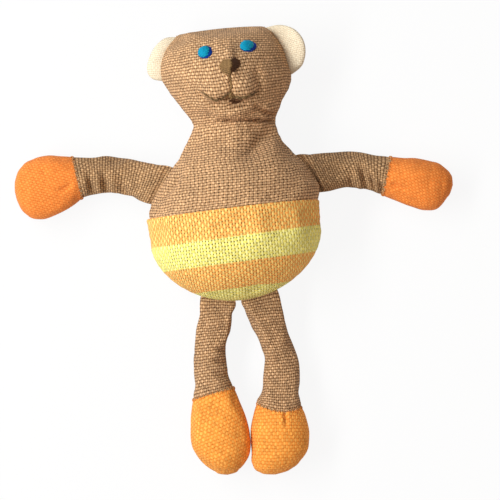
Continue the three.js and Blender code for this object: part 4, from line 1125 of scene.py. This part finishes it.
bagGrids = {}
for bodyName, spec in limbs.items():
    tubeNode, bagNode, filling = spec["nodes"]
    grid = buildTube(spec["tubeName"], spec)
    cols = grid.shape[1]
    plan = clothPlan(grid, [(0, cols, cols // 2)])
    tube = gridObject(spec["tubeName"], [grid], finishes[spec["tubeCloth"]], [plan])
    start, toward = spec["seam"], spec["toward"]
    height = spec["tube"][1][2] * mm
    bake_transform(tube)
    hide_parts(tubeNode, filling)
    grid, plan = buildBag(spec["bagName"], spec)
    bagGrids[bodyName] = grid
    bag = gridObject(spec["bagName"], [grid], finishes[spec["bagCloth"]], [plan])
    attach(bag, bodyName)
    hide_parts(bagNode)
print("stage: limbs made")


# A strand: rings of a given radius about a line of points, upright to it.
def strand(points, radius, sides=8):
    points = np.asarray(points, float)
    nearlyUp = np.array([0.05, 0.03, 1.0])
    along = unit(np.gradient(points, axis=0))
    side = unit(np.cross(along, nearlyUp))
    up = np.cross(side, along)
    turn = np.linspace(0, 2 * np.pi, sides, endpoint=False)
    radius = np.broadcast_to(radius, len(points))[:, None, None]
    ring = side[:, None] * np.cos(turn)[None, :, None] + up[:, None] * np.sin(turn)[None, :, None]
    return points[:, None] + ring * radius


# Strands of one piece as one object, none below the table, each with the length round and along it as
# coordinates.
def threads(name, grids, finish, bodyName, node=None):
    plans = [clothPlan(g, [(0, g.shape[1], 0)]) for g in grids]
    onTable = [np.maximum(g, (-np.inf, -np.inf, 0.0)) for g in grids]
    obj = gridObject(name, onTable, finishes[finish], plans)
    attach(obj, bodyName)
    if node:
        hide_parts(node)


# Short stitches: each an arch about its middle point, along its own direction, sunk at both ends.
def stitches(middles, across, up, half, arch, radius):
    t = np.linspace(-1, 1, 9)
    sunk = 0.3 * t**4
    lift = (arch * (1 - t**2) - sunk)[:, None]
    return [strand(m + a * half * t[:, None] + u * lift, radius, 6) for m, a, u in zip(middles, across, up)]


# Cuffs: overcast stitches over the turned edge of each bag, and loose ends of frayed cloth on the upper side.
cuffs = {
    "spacing": 1.9, "half": 0.95, "arch": 0.3, "radius": 0.15, "slant": 0.35, "ahead": 0.15, "above": 0.05,
    "ends": 320, "endFacing": 0.3, "endAhead": 0.2, "endLength": (0.3, 1.1), "endRadius": 0.07,
    "endBack": (0.2, 1.0), "endRise": (0.1, 0.5), "endStray": 0.5, "endCurl": 0.3, "endLowest": 0.15,
}
lipRows = len(bagForm["lip"])
for bodyName, grid in bagGrids.items():
    bagName = limbs[bodyName]["bagName"]
    rim, ahead, up = grid[lipRows], unit(grid[lipRows + 6] - grid[lipRows]), outward(grid)[lipRows + 1]
    girth = np.linalg.norm(np.diff(rim, axis=0), axis=1).sum()
    count = int(girth / cuffs["spacing"])
    pick = (np.arange(count) * len(rim) / count).astype(int)
    around = unit(np.roll(rim, -1, axis=0) - np.roll(rim, 1, axis=0))
    slant = unit(ahead + cuffs["slant"] * around)
    middle = rim + cuffs["ahead"] * ahead + cuffs["above"] * up
    grids = stitches(middle[pick], slant[pick], up[pick], cuffs["half"], cuffs["arch"], cuffs["radius"])
    threads(bagName + "Stitches", grids, "rust", bodyName)
    rng = np.random.default_rng(len(bodyName))
    t = np.linspace(0, 1, 5)[:, None]
    ends = []
    for j in rng.integers(0, len(rim), cuffs["ends"]):
        if up[j, 2] < cuffs["endFacing"]:
            continue
        back, rise = rng.uniform(*cuffs["endBack"]), rng.uniform(*cuffs["endRise"])
        way = unit(-ahead[j] * back + up[j] * rise + rng.normal(0, cuffs["endStray"], 3))
        curl = rng.normal(0, cuffs["endCurl"], 3)
        line = rim[j] + cuffs["endAhead"] * ahead[j] + way * t * rng.uniform(*cuffs["endLength"])
        line = line + curl * t**2
        line[:, 2] = np.maximum(line[:, 2], cuffs["endLowest"])
        ends.append(strand(line, cuffs["endRadius"], 5))
    threads(bagName + "Fray", ends, "beige", bodyName)

# Side seams: ladder stitches across the groove, clear of the neck, where the cloth bends.
sideSeams = {
    "stitch": {"half": 1.0, "arch": 0.25, "radius": 0.2}, "skipRows": 7, "ends": (1.0, 0.5),
    "rows": [
        ("chestSeam", bodyGrid, (15.0, 42.0), "torso", "brown_cotton", "beige"),
        ("headSeam", bodyGrid, (60.0, 91.0), "head", "brown_cotton", "beige"),
        ("trouserSeam", trouserGrid, (-22.0, 10.5), "torso", "striped_cotton", "rust"),
    ],
}
for name, grid, (low, high), bodyName, slot, finish in sideSeams["rows"]:
    up = outward(grid)
    skip, (clearFirst, clearLast) = sideSeams["skipRows"], sideSeams["ends"]
    grids = []
    for column in (seamRight, seamLeft):
        line = grid[skip:, column]
        inside = np.flatnonzero((line[:, 1] > low) & (line[:, 1] < high))
        length = lengthAlong(line[inside])
        marks = np.arange(clearFirst, length[-1] - clearLast, seams["stitch"])
        rows = inside[np.searchsorted(length, marks)] + skip
        across = unit(grid[rows, (column + 2) % grid.shape[1]] - grid[rows, column - 2])
        grids += stitches(grid[rows, column], across, up[rows, column], **sideSeams["stitch"])
    threads(name + "Stitches", grids, finish, bodyName)
print("stage: seams stitched")

# Ears: doubled cream cloth, lightly filled, sewn into the side seam of the head. Each has its node, its tilt
# and stations like a limb's.
ears = {
    "leftEar": ("left_ear", 7.0, [
        ((22.0, 91.0), (22.0, 91.0), 19.5, 0.0), ((30.0, 91.5), (24.6, 88.9), 19.6, 1.7),
        ((35.9, 89.0), (27.0, 86.4), 19.7, 2.6), ((38.9, 85.0), (28.4, 83.0), 19.7, 3.0),
        ((40.1, 80.0), (29.4, 79.0), 19.6, 3.0), ((39.2, 75.2), (30.0, 75.0), 19.5, 2.7),
        ((36.8, 71.6), (30.6, 71.5), 19.5, 1.8), ((32.8, 69.2), (32.8, 69.2), 19.5, 0.0),
    ]),
    "rightEar": ("right_ear", -1.0, [
        ((-14.2, 91.4), (-14.2, 91.4), 19.5, 0.0), ((-21.6, 91.5), (-17.6, 88.9), 19.6, 1.7),
        ((-26.4, 87.9), (-20.3, 86.0), 19.7, 2.6), ((-29.2, 83.8), (-22.0, 82.0), 19.7, 3.0),
        ((-30.9, 78.6), (-22.7, 78.0), 19.6, 3.0), ((-30.4, 76.0), (-22.9, 75.6), 19.5, 2.6),
        ((-28.2, 73.8), (-23.0, 73.8), 19.5, 1.7), ((-24.0, 72.6), (-24.0, 72.6), 19.5, 0.0),
    ]),
}
earForm = {"grid": ((90, 80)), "full": 0.9, "lumps": (0.15, 7), "middle": 0.42}
for name, (node, tilt, stations) in ears.items():
    p, along = tubeGrid(stations, *earForm["grid"], full=earForm["full"], tilt=tilt)[:2]
    bulge, size = earForm["lumps"]
    inside = bell((along - along[-1] / 2) / along[-1], earForm["middle"])[:, None]
    p = push(p, bulge * lumps(p, size, len(name)) * inside)
    ear = gridObject(name, [p], finishes["cream"], [clothPlan(p, [(0, p.shape[1], p.shape[1] // 2)])])
    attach(ear, "head")
    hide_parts(node)
print("stage: ears made")

# Face threads lie on the finished cloth of the face.
bodyTree = BVHTree.FromObject(body, bpy.context.evaluated_depsgraph_get())


# Height of the cloth under each point, looked up straight from above.
def onCloth(x, y):
    above, down = 0.2, Vector((0, 0, -1))
    hits = [bodyTree.ray_cast(Vector((a * mm, b * mm, above)), down)[0] for a, b in zip(x, y)]
    return np.array([hit[2] / mm for hit in hits])


# Blunt ends: the root of one minus the share to the eighth power, with a least value.
def blunt(share, least):
    return np.sqrt(np.maximum(least, 1 - share**8))


# Strand through points given by their x, y and z.
def strandAt(x, y, z, radius):
    return strand(np.stack([x, y, z], 1), radius)


# Satin stitch: strands side by side over an oval, each arched and sunk into the cloth at its ends, and a rim
# of dark blue short stitches round them, longer and higher on the shaded side, where they partly paint the
# dome's shade.
eyes = {
    "left": {"at": (14.8, 83.2), "size": (3.7, 2.6), "tilt": -0.1, "seed": 11},
    "right": {"at": (-4.4, 82.6), "size": (3.3, 2.75), "tilt": 0.3, "seed": 12},
}
satin = {
    "strands": 7, "points": 17, "spread": 0.88, "reach": (0.9, 0.06), "oval": (0.88, 0.8), "bow": 0.35,
    "offset": (-0.4, 0.35), "dome": 2.9, "domeOval": (0.97, 0.8), "sunk": 0.5, "radius": 0.46,
    "leastRadius": 0.05, "strayAside": 0.07, "strayUp": 0.05,
}
eyeRim = {
    "count": 34, "shadedAt": -0.7, "inner": (0.8, 0.3), "outer": (0.93, 0.13), "stray": 0.03, "lean": 0.2,
    "lift": 0.1, "height": (0.45, 1.9, 1.06), "arch": (0.4, 1.0), "radius": 0.3,
    "taper": (1, 1, 1, 1, 0.95, 0.8, 0.3),
}
for side, spec in eyes.items():
    (cx, cy), (rx, ry), tilt = spec["at"], spec["size"], spec["tilt"]
    ct, st = math.cos(tilt), math.sin(tilt)
    rng = np.random.default_rng(spec["seed"])
    share = np.linspace(-1, 1, satin["points"])
    (reachShare, reachMore), (wide, high) = satin["reach"], satin["oval"]
    (offX, offY), (domeWide, domeHigh) = satin["offset"], satin["domeOval"]
    centreGrids, rimGrids = [], []
    for k in np.linspace(-satin["spread"], satin["spread"], satin["strands"]):
        reach = reachShare * math.sqrt(1 - k * k) + reachMore
        a = share * reach * rx * wide
        b = k * ry * high + satin["bow"] * share * (1 - k * k) + rng.normal(0, satin["strayAside"])
        x, y = cx + offX + a * ct - b * st, cy + offY + a * st + b * ct
        oval = (domeWide * share * reach) ** 2 + domeHigh * k * k
        dome = satin["dome"] * np.sqrt(np.maximum(0, 1 - oval))
        z = onCloth(x, y) + dome + rng.normal(0, satin["strayUp"]) - satin["sunk"] * np.abs(share) ** 10
        centreGrids.append(strandAt(x, y, z, satin["radius"] * blunt(share, satin["leastRadius"])))
    (inner, innerMore), (outer, outerMore) = eyeRim["inner"], eyeRim["outer"]
    taper = np.array(eyeRim["taper"])
    height, heightMore, fadeAt = eyeRim["height"]
    arch = np.sin(np.linspace(*eyeRim["arch"], len(taper)) * np.pi)
    # Dark blue rim stitches reach further on the shaded side: painted shade of the dome, as well as the blue
    # edge thread.
    for k in np.arange(eyeRim["count"]) / eyeRim["count"] * 2 * np.pi:
        shaded = 0.5 + 0.5 * math.cos(k - eyeRim["shadedAt"])
        far = outer + outerMore * shaded + rng.normal(0, eyeRim["stray"])
        t = np.linspace(inner - innerMore * shaded, far, len(taper))
        lean = k + eyeRim["lean"] * (t - inner)
        a, b = rx * t * np.cos(lean), ry * t * np.sin(lean)
        x, y = cx + a * ct - b * st, cy + a * st + b * ct
        z = onCloth(x, y) + eyeRim["lift"] + (height + heightMore * shaded * (fadeAt - t)) * arch
        rimGrids.append(strandAt(x, y, z, eyeRim["radius"] * taper))
    threads(side + "EyeCentre", centreGrids, "turquoise", "head", side + "_eye_centre")
    threads(side + "EyeRim", rimGrids, "darkBlue", "head", side + "_eye_rim")

# Nose: cloth pinched into a ridge, with olive stitches down one side and umber ones down the steep other
# side, whose dark colour is partly painted shade of that side. Its height and width along the ridge are sines
# between the given shares of half a turn.
nose = {
    "ridge": [(6.4, 77.6), (6.3, 75.6), (5.7, 72.8)], "strands": 10, "points": 13, "seed": 5,
    "rise": 1.7, "riseTurn": (0.16, 0.66), "wideTurn": (0.2, 0.66), "padding": 0.25, "lift": 0.15,
    "sunk": 0.5, "radius": 0.42, "leastRadius": 0.08, "stray": 0.08, "oliveFall": 1.5, "umberFall": 1.6,
    "oliveReach": 5.8, "oliveStart": (-0.2, 0.9), "oliveLength": (0.86, 1.05), "oliveFan": (-1.1, 0.5),
    "umberReach": 4.8, "umberLength": (0.92, 1.04), "umberFan": (0.7, 0.2),
}
ridge = through([0, 0.5, 1], nose["ridge"], np.linspace(0, 1, nose["strands"]))
rng = np.random.default_rng(nose["seed"])
t = np.linspace(0, 1, nose["points"])
radius = nose["radius"] * blunt(t, nose["leastRadius"])
seat = nose["lift"] - nose["sunk"] * t**6
noseGrids, noseShade = [], []
for k, (rx, ry) in enumerate(ridge):
    level = k / (len(ridge) - 1)
    peak, wide = (
        math.sin(math.pi * (first + span * level)) for first, span in (nose["riseTurn"], nose["wideTurn"])
    )
    peak *= nose["rise"]
    start = rng.uniform(*nose["oliveStart"])
    x = rx + start - (nose["oliveReach"] * wide * rng.uniform(*nose["oliveLength"]) + start) * t
    fanLow, fanHigh = nose["oliveFan"]
    y = ry + fanLow * t * level + fanHigh * t * (1 - level) + rng.normal(0, nose["stray"])
    z = onCloth(x, y) + (peak + nose["padding"]) * (1 - t ** nose["oliveFall"]) + seat
    noseGrids.append(strandAt(x, y, z, radius))
    # Umber stitches down the shaded side: dark thread that partly paints the shade there.
    x = rx + nose["umberReach"] * wide * rng.uniform(*nose["umberLength"]) * t
    fan, lean = nose["umberFan"]
    y = ry + fan * (0.5 - level) * t + lean * t + rng.normal(0, nose["stray"])
    z = onCloth(x, y) + peak * (1 - t) ** nose["umberFall"] + seat
    noseShade.append(strandAt(x, y, z, radius))
threads("noseStitches", noseGrids, "olive", "head", "nose")
threads("noseDarkStitches", noseShade, "umber", "head")

# Mouth: two plies twisted round each other along each stitch, sunk at both ends and here and there between.
# Each has its node, line on the cloth, radius and finish. A piece is named by the bear's own side, a line by
# the side on which it is seen.
mouth = {
    "lines": {
        "mouthUpright": ("mouth_upright", "upright", 0.36, "olive"),
        "mouthRight": ("mouth_right", "mouthLeft", 0.48, "mouthOlive"),
        "mouthLeft": ("mouth_left", "mouthRight", 0.58, "mouthOlive"),
    },
    "points": 80, "smoothed": 11, "wander": 0.22, "wanderTurns": (1.9, 2.3), "height": 0.2,
    "dips": 0.28, "dipTurn": 2.05, "dipStart": 0.6, "endDip": 0.8, "endWidth": 0.05,
    "twist": 2.4, "apart": 0.65, "taper": 0.3,
    "knot": [((3.4, 63.2), (6.6, 61.6)), ((4.0, 61.4), (6.0, 64.0)), ((4.4, 64.2), (5.2, 60.8))],
    "knotArch": 0.9, "knotSunk": 1.2, "knotRadius": 0.36,
    # umber strands laid in the hollow under the mouth, a painted shadow
    "dark": [
        [(4.0, 60.0), (6.6, 59.6), (9.8, 60.0)], [(5.0, 60.7), (7.4, 60.3), (10.4, 60.6)],
        [(5.0, 59.2), (6.8, 58.9), (8.6, 59.2)],
    ],
    "shadowArch": 0.5, "shadowSunk": 0.3, "shadowRadius": 0.46,
}
for name, (node, line, radius, finish) in mouth["lines"].items():
    share = np.linspace(0, 1, mouth["points"])
    flat = through(np.linspace(0, 1, len(bodyCloth[line])), bodyCloth[line], share)
    length = lengthAlong(flat)
    turnX, turnY = mouth["wanderTurns"]
    flat = flat + mouth["wander"] * np.stack([np.sin(length * turnX + 1), np.sin(length * turnY)], axis=1)
    samples = mouth["smoothed"]
    z = np.pad(onCloth(flat[:, 0], flat[:, 1]), samples // 2, mode="edge")
    z = np.convolve(z, np.ones(samples) / samples, mode="valid")
    ends = bell(share, mouth["endWidth"]) + bell(share - 1, mouth["endWidth"])
    dips = mouth["dips"] * np.sin(length * mouth["dipTurn"] + mouth["dipStart"])
    path = np.column_stack([flat, z + (mouth["height"] + dips - mouth["endDip"] * ends)])
    along = unit(np.gradient(path, axis=0))
    side = np.cross(along, [0, 0, 1.0])
    up = np.cross(side, along)
    plies = []
    for phase in (0, math.pi):
        twist = (2 * np.pi * length / mouth["twist"] + phase)[:, None]
        off = mouth["apart"] * radius * (side * np.cos(twist) + up * np.sin(twist))
        plies.append(strand(path + off, radius * (1 - mouth["taper"] * share)))
    if line == "upright":
        t = np.linspace(0, 1, 9)
        for a, b in mouth["knot"]:
            x, y = a[0] + (b[0] - a[0]) * t, a[1] + (b[1] - a[1]) * t
            z = onCloth(x, y).max() + mouth["knotArch"] * np.sin(np.pi * t) - mouth["knotSunk"]
            plies.append(strandAt(x, y, z, mouth["knotRadius"]))
    threads(name, plies, finish, "head", node)
# Painted shadow: umber strands laid in the hollow under the right mouth line as seen.
t = np.linspace(0, 1, 15)
plies = []
for line in mouth["dark"]:
    x, y = through([0, 0.5, 1], line, t).T
    z = onCloth(x, y) + mouth["shadowArch"] * np.sin(np.pi * t) - mouth["shadowSunk"]
    plies.append(strandAt(x, y, z, mouth["shadowRadius"]))
threads("mouthShadowStrands", plies, "umber", "head")
print("stage: face stitched")

# Studio, in metres: "glow" is the share of the floor that is plain white to the camera, "sky" the light of
# the world, and the camera's "width" is what it sees across at its "distance".
studio = {
    "floorHalf": 3.0, "floorColour": 0.8, "glow": 0.9, "sky": 0.2, "aim": (0, 0, 0.02),
    "lamps": {
        "keyLight": {"place": (-0.54, 0.14, 0.68), "size": (1.2, 0.2), "power": 10.3, "tint": (1, 1, 1)},
        "topLight": {"place": (0.0, 0.1, 1.2), "size": (0.9, 0.9), "power": 2.0, "tint": (1, 1, 1)},
        "fillLight": {
            "place": (0.55, -0.4, 0.35), "size": (0.7, 0.7), "power": 0.95, "tint": (1.0, 0.62, 0.38),
        },
    },
    "camera": {
        "place": (0.00555, -0.0062, 2.50), "turn": -6.5, "sensor": 36, "distance": 2.48, "width": 0.222,
    },
}


# Floor: a wide plane that is near white to the camera and keeps a soft shadow.
def buildFloor():
    half, grey = studio["floorHalf"], studio["floorColour"]
    mesh = bpy.data.meshes.new("floor")
    outline = [(-half, -half, 0), (half, -half, 0), (half, half, 0), (-half, half, 0)]
    mesh.from_pydata(outline, [], [(0, 1, 2, 3)])
    floor = bpy.data.objects.new("floor", mesh)
    bpy.context.scene.collection.objects.link(floor)
    material = bpy.data.materials.new("paleFloor")
    material.use_nodes = True
    n = Nodes(material.node_tree)
    nodes = material.node_tree.nodes
    nodes.remove(nodes["Principled BSDF"])
    diffuse, glow = n.add("ShaderNodeBsdfDiffuse"), n.add("ShaderNodeEmission")
    diffuse.inputs["Color"].default_value = (grey, grey, grey, 1)
    glow.inputs["Color"].default_value = (1, 1, 1, 1)
    path = n.add("ShaderNodeLightPath")
    seen = n.math("MAXIMUM", path.outputs["Is Camera Ray"],
                  n.math("MAXIMUM", path.outputs["Is Glossy Ray"], path.outputs["Is Transmission Ray"]))
    blend = n.add("ShaderNodeMixShader")
    n.link(n.math("MULTIPLY", seen, studio["glow"]), blend.inputs[0])
    n.link(diffuse.outputs[0], blend.inputs[1])
    n.link(glow.outputs[0], blend.inputs[2])
    n.link(blend.outputs[0], nodes["Material Output"].inputs["Surface"])
    mesh.materials.append(material)


buildFloor()


# Area lamp aimed at the bear, its first side level and its second upright to it.
def lamp(name, place, size, power, tint):
    light = bpy.data.lights.new(name, "AREA")
    light.shape = "RECTANGLE"
    light.color = tint
    light.size, light.size_y = size
    light.energy = power
    obj = bpy.data.objects.new(name, light)
    obj.location = place
    obj.rotation_euler = (Vector(studio["aim"]) - Vector(place)).to_track_quat("-Z", "Y").to_euler()
    bpy.context.scene.collection.objects.link(obj)


for name, values in studio["lamps"].items():
    lamp(name, **values)
world = bpy.data.worlds.new("studio")
bpy.context.scene.world = world
world.use_nodes = True
n = Nodes(world.node_tree)
sky = world.node_tree.nodes["Background"]
sky.inputs["Color"].default_value = (1, 1, 1, 1)
path = n.add("ShaderNodeLightPath")
n.link(n.range(path.outputs["Is Camera Ray"], 0.0, 1.0, studio["sky"], 1.0), sky.inputs["Strength"])

# Camera straight above, turned with the picture, at a distance that keeps the limbs in proportion.
view = studio["camera"]
camera = bpy.data.cameras.new("camera")
camera.sensor_width = view["sensor"]
camera.lens = view["sensor"] * view["distance"] / view["width"]
eye = bpy.data.objects.new("camera", camera)
eye.location = view["place"]
eye.rotation_euler = (0, 0, math.radians(view["turn"]))
bpy.context.scene.collection.objects.link(eye)
bpy.context.scene.camera = eye
bpy.context.scene.view_settings.view_transform = "Standard"
print("stage: scene lit")
